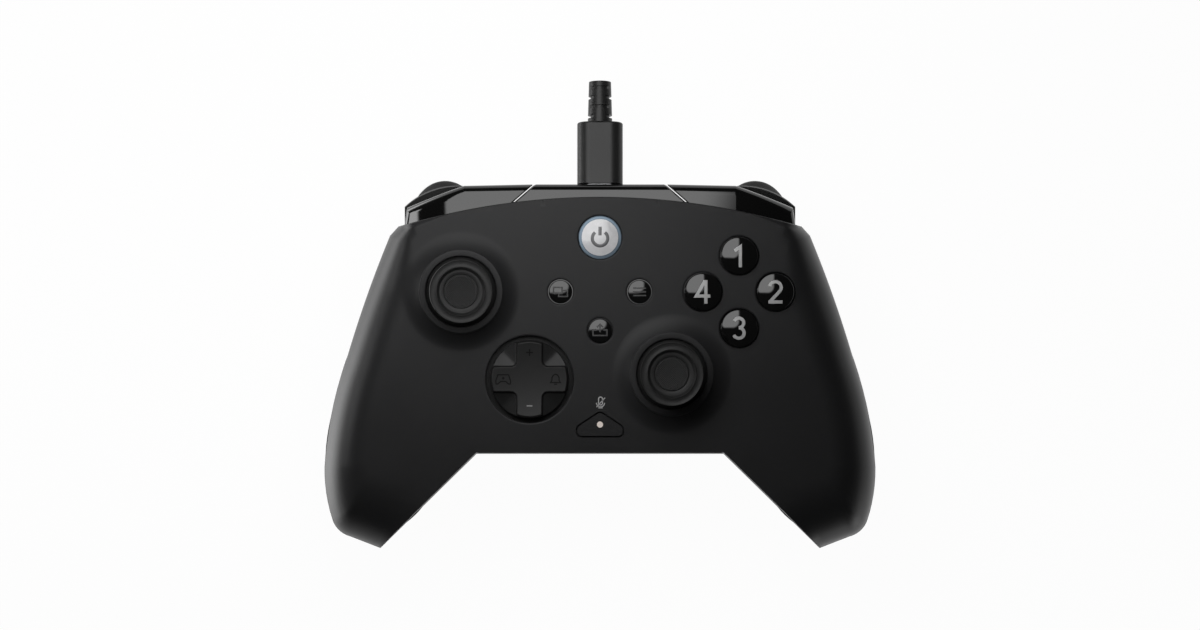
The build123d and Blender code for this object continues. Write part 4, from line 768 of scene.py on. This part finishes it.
def frontSheet():
    values = {**shellSet, **sheetSet}
    bore, collar, mound, soft, lip = (values[key] for key in ("bore", "collar", "mound", "soft", "lip"))
    loops = [outline]
    loose = []
    for share in values["edgeShares"]:
        inset = outline + outlineInward * (edgeWidths * share)[:, None]
        distance = edgeFeet(inset)[:, 0]
        apart = (distance > edgeWidths * share * values["trueShare"]) & (distance > values["apart"])
        loose.append(inset[apart])
    covered = [(*centre, mound + values["moundClear"]) for centre in sticks.values()]
    gap = values["moundGap"]
    for centre in sticks.values():
        loops.append(ring(centre, bore))
        steps = [bore + soft * share for share in values["boreShares"]]
        steps += [collar - soft * share for share in values["collarShares"]]
        steps += [collar, *np.linspace(collar + gap, mound + gap, values["moundRings"])]
        loose += [ring(centre, radius) for radius in steps]
    for x, y, radius in roundHoles:
        count = values["largeCount"] if radius > values["largeHole"] else values["count"]
        loops.append(ring((x, y), radius, count))
        loose += [ring((x, y), radius + lip * share, count) for share in values["lipShares"]]
        covered.append((x, y, radius + lip * values["lipClearShare"]))
    loops.append(micHole)
    loose.append(roundCorners(micCorners, micHoleSet["corner"], values["micGap"]))
    covered.append(micHoleSet["around"])
    gridStep = values["gridStep"]
    x, y = np.meshgrid(np.arange(*values["gridX"], gridStep), np.arange(*values["gridY"], gridStep))
    grid = np.stack([x.ravel() + (y.ravel() / gridStep % 2) * gridStep / 2, y.ravel()], -1)
    grid = grid[inLoop(grid, outline)]
    distance, width = edgeFeet(grid)[:, :2].T
    grid = grid[distance / width > values["gridShare"]]
    for x, y, radius in covered:
        grid = grid[np.linalg.norm(grid - (x, y), axis=1) > radius + values["gridClear"]]
    points = np.vstack([*loops, *loose, grid])
    edges, start = [], 0
    for loop in loops:
        index = np.arange(start, start + len(loop))
        edges += np.stack([index, np.roll(index, -1)], -1).tolist()
        start += len(loop)
    made = delaunay_2d_cdt([Vector(point) for point in points.tolist()], edges, [], 0, values["merge"])
    flat = np.array([tuple(point) for point in made[0]])
    faces = np.array(made[2])
    middle = flat[faces].mean(1)
    keep = inLoop(middle, outline) & ~inLoop(middle, micHole)
    for x, y, radius in [*roundHoles, *[(*centre, bore) for centre in sticks.values()]]:
        keep &= np.linalg.norm(middle - (x, y), axis=1) > radius * values["holeShare"]
    faces = faces[keep]
    first, second, third = (flat[faces[:, column]] for column in range(3))
    turn = (second - first)[:, 0] * (third - first)[:, 1] - (second - first)[:, 1] * (third - first)[:, 0]
    faces = np.where(turn[:, None] > 0, faces, faces[:, ::-1])
    used, packed = np.unique(faces, return_inverse=True)
    flat, faces = flat[used], packed.reshape(faces.shape)
    sides = np.vstack([faces[:, [0, 1]], faces[:, [1, 2]], faces[:, [2, 0]]])
    key = np.sort(sides, 1)
    found, where, count = np.unique(key, axis=0, return_index=True, return_counts=True)
    border = sides[where[count == 1]]
    outer, inner, innerPlace = shellHeights(flat)
    size = len(flat)
    wall = np.stack([border[:, 1], border[:, 0], border[:, 0] + size, border[:, 1] + size], -1)
    points = np.vstack([np.column_stack([flat, outer]), np.column_stack([innerPlace, inner])])
    return points, [faces, faces[:, ::-1] + size, wall]


# Flat wall over the notch, with the round hole for the headset plug: four rows of points from the outer edge of
# its front to the hole, through the hole to the back, and out to the back's edge
notchWall = {
    "half": 34.3, "y": -38.9, "low": 27.3, "high": 44.0, "hole": 3.32, "holeZ": 31.5, "thick": 2.0, "count": 96,
}


def notchPanel():
    values = notchWall
    half, hole, centreZ = values["half"], values["hole"], values["holeZ"]
    up, down = values["high"] - centreZ, centreZ - values["low"]
    corners = [math.atan2(z, side * half) for side in (-1, 1) for z in (-down, up)]
    angle = np.linspace(-math.pi, math.pi, values["count"], endpoint=False)
    angle = np.sort(np.concatenate([angle, corners]))
    way = circle(0, 0, 1, angle)
    upright = np.where(way[:, 1] > 0, up, down)
    least = 1e-9  # Keeps a division from meeting zero
    reach = np.minimum(half / np.maximum(abs(way[:, 0]), least), upright / np.maximum(abs(way[:, 1]), least))
    made = []
    for radius, depth in ((reach, 0), (hole, 0), (hole, values["thick"]), (reach, values["thick"])):
        y = np.full(len(way), values["y"] + depth)
        made.append(np.column_stack([way[:, 0] * radius, y, way[:, 1] * radius + centreZ]))
    faces = gridFaces(len(made), len(way), wrapRows=True, wrapColumns=True)
    return np.vstack(made), [faces[:, ::-1]]


screwPosts = {
    "radius": 2.9, "bore": 1.25, "boreTop": 36.0, "skin": 0.6, "roof": 1.0, "around": 48,
    "places": ((33.0, -31.0), (24.0, 17.6), (66.0, -54.5)),
}
micPosts = {"radius": 1.0, "low": 37.0, "top": 44.0, "around": 32, "places": ((9.25, -31.0), (-9.25, -31.0))}
shapes = [frontSheet(), notchPanel()]
for place in [(side * x, y) for x, y in screwPosts["places"] for side in (-1, 1)]:
    # Each post ends below the lowest outer height over its edge
    radius, bore, low = screwPosts["radius"], screwPosts["bore"], shellSet["low"]
    top = float(shellHeights(ring(place, radius, 12))[0].min()) - screwPosts["skin"]
    boreTop = min(screwPosts["boreTop"], top - screwPosts["roof"])
    profile = [(0, boreTop), (bore, boreTop), (bore, low), (radius, low), (radius, top), (0, top)]
    shapes.append(lathe(profile, place, screwPosts["around"]))
for place in micPosts["places"]:
    radius, low, top = micPosts["radius"], micPosts["low"], micPosts["top"]
    shapes.append(lathe([(0, low), (radius, low), (radius, top), (0, top)], place, micPosts["around"]))
addPiece("front_cover", joinShapes(shapes), "casing", "casing_black", stands=["front_shell"])
print("front shell made")

# Domed buttons, by radius of the head and how far its top swells, with a rounded rim, a flange under the face,
# a stem, and a sign of strokes on the top
def buttonProfile(node, values):
    low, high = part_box(node)
    low, top = low.z / mm, high.z / mm
    radius, crown, rim, flange = (values[key] for key in ("radius", "crown", "rim", "flange"))
    ball = (radius**2 + crown**2) / crown / 2
    ballLow = top - ball
    rimZ = ballLow + math.sqrt((ball - rim) ** 2 - (radius - rim) ** 2)
    lean = math.atan2(rimZ - ballLow, radius - rim)
    turn = np.linspace(0, lean, values["rimSteps"])
    rimArc = circle(radius - rim, rimZ, rim, turn)
    sweep = np.linspace(lean, math.pi / 2, values["crownSteps"])[1:]
    crownArc = circle(0, ballLow, ball, sweep)
    crownArc[-1, 0] = 0
    stem, flangeTop = values["stem"], values["flangeTop"]
    underside = flangeTop - values["flangeThick"]
    lower = [(0, low), (stem, low), (stem, underside), (flange, underside), (flange, flangeTop)]
    lower.append((radius, flangeTop))
    return np.vstack([lower, rimArc, crownArc]), top


def addButton(node, values, paths, suffix, ink):
    centre = middleOf(node)
    body = node + "_body"
    profile, top = buttonProfile(node, values)
    cap = lathe(profile, centre, values["around"])
    addPiece(node + "_cap", cap, body, "gloss_black", stands=[node])
    surface = capOver(centre, top, values["radius"], values["crown"])
    strokes = [
        ribbon(moved(path, centre, values["signSize"]), values["stroke"], surface, values["lift"], closed)
        for path, closed in paths
    ]
    addPiece(node + suffix, joinShapes(strokes), body, "gloss_black", ink)


anyButton = {"flangeTop": 43.7, "flangeThick": 1.0, "rimSteps": 7, "crownSteps": 28}
faceButtons = {
    **anyButton, "radius": 5.25, "crown": 1.1, "rim": 0.4, "flange": 6.2, "stem": 3.25, "around": 192,
    "stroke": 0.95, "signSize": 1.0, "lift": 0.03,
}
high, over = 2.85, 0.47  # Half a digit's height, and what half a stroke adds to it
digitPaths = {
    "face_button_top": [[(-1.3, high * 0.46), (0.35, high * 0.88), (0.35, -high - over)]],
    "face_button_right": [
        np.vstack([arc(0, high - 1.62, 1.62, 170, -38), [(-1.62, -high)]]),
        [(-1.98, -high), (2.0, -high)],
    ],
    "face_button_bottom": [arc(-0.1, high - 1.38, 1.38, 158, -90), arc(-0.1, -high + 1.5, 1.5, 90, -158)],
    "face_button_left": [
        [(0.62, high + 0.3), (-1.85, -high * 0.42), (2.1, -high * 0.42)],
        [(0.85, high + over), (0.85, -high - over)],
    ],
}
for node, strokes in digitPaths.items():
    addButton(node, faceButtons, [(stroke, False) for stroke in strokes], "_digit", "print_white")
print("face buttons made")

smallButtons = {
    **anyButton, "radius": 3.3, "crown": 0.35, "rim": 0.3, "flange": 4.25, "stem": 2.04, "around": 128,
    "stroke": 0.42, "signSize": 1.3, "lift": 0.02,
}
pictograms = {
    "view_button": [
        ([(-1.5, 0.95), (0.35, 0.95), (0.35, -0.35), (-1.5, -0.35)], True),
        ([(0.35, 0.3), (1.5, 0.3), (1.5, -1.0), (-0.4, -1.0), (-0.4, -0.35)], False),
    ],
    "menu_button": [([(-1.4, y), (1.4, y)], False) for y in (0.8, 0.0, -0.8)],
    "share_button": [
        ([(-0.75, 0.15), (-1.5, 0.15), (-1.5, -1.05), (1.5, -1.05), (1.5, 0.15), (0.75, 0.15)], False),
        ([(-0.65, 0.75), (0, 1.4), (0.65, 0.75)], False),
        ([(0, 1.25), (0, -0.35)], False),
    ],
}
for node, paths in pictograms.items():
    addButton(node, smallButtons, paths, "_sign", "print_dim")
print("small buttons made")

# Guide button: a plain open ring and bar on the pearl lens
guideSet = {
    "lensRadius": 5.15, "crown": 0.7, "ring": 2.15, "ringY": -0.25, "gap": 40, "steps": 48,
    "stroke": 0.95, "lift": 0.02, "barLow": 0.55, "barHigh": 3.0,
}
centre = middleOf("guide_lens")
surface = capOver(centre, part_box("guide_lens")[1].z / mm, guideSet["lensRadius"], guideSet["crown"])
gap = guideSet["gap"]
openRing = arc(0, guideSet["ringY"], guideSet["ring"], 90 + gap, 450 - gap, guideSet["steps"])
bar = [(0, guideSet["barLow"]), (0, guideSet["barHigh"])]
strokes = [
    ribbon(moved(path, centre), guideSet["stroke"], surface, guideSet["lift"]) for path in (openRing, bar)
]
addPiece("guide_sign", joinShapes(strokes), "guide_button_body", "lens_pearl", "print_steel")

# Stick caps: rubber rim, ribs and a hollow middle on a neck, with the round skirt that shuts the collar.
# Rows of the outline have a radius, a height over the cap's top, and how much its corner is eased
capSet = {
    "top": 60.0, "pivot": 36.5, "skirt": 14.5, "skirtIn": 13.1, "skirtLow": 5.43, "neck": 3.6, "neckDown": 8,
    "bore": 1.93, "boreTop": 55.65, "insideSteps": 24, "outsideSteps": 28, "middle": -1.42,
    "rows": [
        (3.74, -6.16, 0.4), (8.2, -4.4, 0.5), (8.9, -3.7, 0.3), (8.9, -0.2, 0.1), (8.8, 0.0, 0.08),
        (8.55, -0.14, 0.1), (7.75, -0.3, 0.5), (7.0, -0.14, 0.1), (6.85, 0.0, 0.05), (6.72, -0.1, 0.04),
        (6.1, -0.95, 0.06), (5.5, -0.98, 0.2), (4.9, -1.12, 0.05), (4.8, -1.4, 0.03), (4.66, -1.4, 0.03),
        (4.58, -1.0, 0.05), (2.6, -1.3, 1.4),
    ],
}


def capProfile():
    values = capSet
    pivot, skirtIn, skirt, neck = (values[key] for key in ("pivot", "skirtIn", "skirt", "neck"))
    insideFrom = math.asin(values["bore"] / skirtIn)
    turn = np.linspace(insideFrom, math.acos(values["skirtLow"] / skirtIn), values["insideSteps"])
    inside = np.stack([skirtIn * np.sin(turn), pivot + skirtIn * np.cos(turn)], -1)
    outsideFrom = math.acos(values["skirtLow"] / skirt)
    turn = np.linspace(outsideFrom, math.asin(neck / skirt), values["outsideSteps"])
    outside = np.stack([skirt * np.sin(turn), pivot + skirt * np.cos(turn)], -1)
    rows = [(neck, values["top"] - values["neckDown"])]
    rows += [(radius, values["top"] + height, ease) for radius, height, ease in values["rows"]]
    rows.append((0, values["top"] + values["middle"]))
    start = [(0, values["boreTop"]), (values["bore"], values["boreTop"])]
    return np.vstack([start, inside, outside, eased(rows)])


capRubber = (0.011, 0.015, (0.42, 0.52), 0.2, 0.005, 0.22)  # As in the table of plastics
for side, centre in sticks.items():
    rubber = "stickRubber_" + side
    finishes[rubber] = plastic(rubber, *capRubber, extra=discDots(centre))
    cap = lathe(capProfile(), centre)
    stands = [side + "_stick_cap"]
    addPiece(side + "_stick_top", cap, side + "_stick", "stick_rubber", rubber, stands, crease=40)
print("stick caps made")

# Directional pad: height field on rings. The cross is hollowed from its ends to its middle. Each quarter
# between its arms is a valley that falls from both arms towards its diagonal
padSet = {
    "centre": (-19.8, -18.3), "radius": 11.05, "half": 3.5, "corner": 1.7, "crossLow": 46.7, "crossHigh": 47.35,
    "end": 10.35, "endFall": 1.1, "endPower": 1.5, "rimFall": 0.25, "quarter": 46.15, "slope": 0.36, "mix": 1.6,
    "edge": 0.16, "edgeOut": 0.3, "base": 42.0, "flange": 13.3, "flangeLow": 41.0, "socket": 4.0,
    "socketLow": 40.3, "ball": 2.05, "ballZ": 40.0, "ballSteps": 12, "rings": 90, "endRings": 10, "around": 384,
    "foot": 1.4, "footAt": 7.8, "footIn": 0.05, "footAround": 48,
}


def padHeight(x, y):
    values = padSet
    x, y = x - values["centre"][0], y - values["centre"][1]
    across, along = abs(x) - values["half"], abs(y) - values["half"]
    away = np.hypot(x, y)
    rounding = values["corner"]
    inCorner = (across < rounding) & (along < rounding)
    bent = rounding - np.hypot(np.maximum(rounding - across, 0), np.maximum(rounding - along, 0))
    beyond = np.where(inCorner, bent, np.minimum(across, along))
    valley = -np.log(np.exp(-values["mix"] * across) + np.exp(-values["mix"] * along)) / values["mix"]
    quarter = values["quarter"] - values["slope"] * np.maximum(valley, 0)
    cross = values["crossLow"] + (values["crossHigh"] - values["crossLow"]) * (away / values["end"]) ** 2
    past = np.clip((away - values["end"]) / (values["radius"] - values["end"]), 0, 1)
    cross = cross - values["endFall"] * past ** values["endPower"]
    share = np.clip((beyond + values["edge"]) / (values["edge"] + values["edgeOut"]), 0, 1)
    share = share * share * (3 - 2 * share)
    rimFall = values["rimFall"]
    rim = rimFall * np.clip((away - values["radius"] + rimFall) / rimFall, 0, 1) ** 2
    return cross * (1 - share) + quarter * share - rim


def padShape():
    values = padSet
    centreX, centreY = values["centre"]
    radius, end, ball, ballZ = (values[key] for key in ("radius", "end", "ball", "ballZ"))
    inner, outer = np.linspace(0, end, values["rings"])[1:], np.linspace(end, radius, values["endRings"])[1:]
    reach = np.concatenate([inner, outer])[::-1, None]
    angle = np.linspace(0, 2 * math.pi, values["around"], endpoint=False)
    x, y = centreX + reach * np.cos(angle), centreY + reach * np.sin(angle)
    top = np.stack([x, y, padHeight(x, y)], -1)
    hollow = np.linspace(math.pi / 2, math.asin((values["socketLow"] - ballZ) / ball), values["ballSteps"])[1:]
    under = [(ball * math.cos(turn), ballZ + ball * math.sin(turn)) for turn in hollow]
    socket, flange, flangeLow, base = (values[key] for key in ("socket", "flange", "flangeLow", "base"))
    under += [(socket, values["socketLow"]), (socket, flangeLow), (flange, flangeLow)]
    under += [(flange, base), (radius, base)]
    sides = [
        np.stack([centreX + r * np.cos(angle), centreY + r * np.sin(angle), np.full(len(angle), z)], -1)
        for r, z in under
    ]
    middle = float(padHeight(np.array(centreX), np.array(centreY)))
    rows = np.concatenate([np.array(sides), top])
    return closedRings(rows, (centreX, centreY, ballZ + ball), (centreX, centreY, middle))


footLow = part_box("direction_pad")[0].z / mm
footTop = padSet["flangeLow"] + padSet["footIn"]
footProfile = [(0, footLow), (padSet["foot"], footLow), (padSet["foot"], footTop), (0, footTop)]
feet = []
for x, y in ((1, 0), (0, 1), (-1, 0), (0, -1)):
    centre = (padSet["centre"][0] + x * padSet["footAt"], padSet["centre"][1] + y * padSet["footAt"])
    feet.append(lathe(footProfile, centre, padSet["footAround"]))
addPiece("pad_cross", joinShapes([padShape(), *feet]), "pad", "casing_black", "pad_black", ["direction_pad"])

# Signs on the pad: strokes with their points, whether each is closed, the stroke's width and its colour. The
# real signs are engraved: these strokes stand a little proud, near black as painted shade in the grooves, and
# the minus pale grey as a painted highlight in its slot
padSigns = {
    "plus": ([([(-0.95, 7.55), (0.95, 7.55)], False), ([(0, 6.6), (0, 8.5)], False)], 0.34, "print_dark"),
    "minus": ([([(-0.8, -7.45), (0.8, -7.45)], False)], 0.34, "print_grey"),
    "pad": ([
        ([(-8.9, 1.3), (-5.9, 1.3), (-5.3, -0.5), (-5.4, -1.3), (-5.9, -1.3), (-6.7, -0.6), (-8.1, -0.6),
          (-8.9, -1.3), (-9.4, -1.3), (-9.5, -0.5)], True),
        ([(-7.4, 0.75), (-7.4, -0.05)], False), ([(-7.8, 0.35), (-7.0, 0.35)], False),
    ], 0.3, "print_dark"),
    "bell": ([
        ([(5.9, -0.9), (6.3, -0.3), (6.3, 0.5), (6.7, 1.2), (7.3, 1.45), (7.9, 1.2), (8.3, 0.5), (8.3, -0.3),
          (8.7, -0.9)], True),
        ([(6.9, -1.35), (7.7, -1.35)], False),
    ], 0.3, "print_dark"),
}
signLift = 0.02
for sign, (strokes, width, ink) in padSigns.items():
    made = []
    for path, closed in strokes:
        made.append(ribbon(moved(path, padSet["centre"]), width, padHeight, signLift, closed))
    addPiece("pad_sign_" + sign, joinShapes(made), "pad", "casing_black", ink)
print("directional pad made")

# Microphone sign printed on the face, with a slash through it: a capsule over a bowl, a stand and its foot
micSign = {
    "centre": (0.15, -24.8), "stroke": 0.3, "half": 0.55, "capsuleTop": 1.0, "capsuleLow": -0.15, "bowl": 1.12,
    "bowlY": -0.1, "foot": -1.5, "footHalf": 0.6, "capsuleSteps": 10, "bowlSteps": 16,
    "slash": [(-1.15, -1.3), (1.25, 1.35)],
}
half, bowl, bowlY, foot = (micSign[key] for key in ("half", "bowl", "bowlY", "foot"))
capsule = np.vstack([
    arc(0, micSign["capsuleTop"], half, 0, 180, micSign["capsuleSteps"]),
    arc(0, micSign["capsuleLow"], half, 180, 360, micSign["capsuleSteps"]),
])
micPaths = [
    (capsule, True),
    (arc(0, bowlY, bowl, 180, 360, micSign["bowlSteps"]), False),
    ([(0, bowlY - bowl), (0, foot)], False),
    ([(-micSign["footHalf"], foot), (micSign["footHalf"], foot)], False),
    (micSign["slash"], False),
]
surface = level(shellSet["face"])
strokes = []
for path, closed in micPaths:
    strokes.append(ribbon(moved(path, micSign["centre"]), micSign["stroke"], surface, signLift, closed))
addPiece("microphone_sign", joinShapes(strokes), "casing", "casing_black", "print_white")
print("signs made")
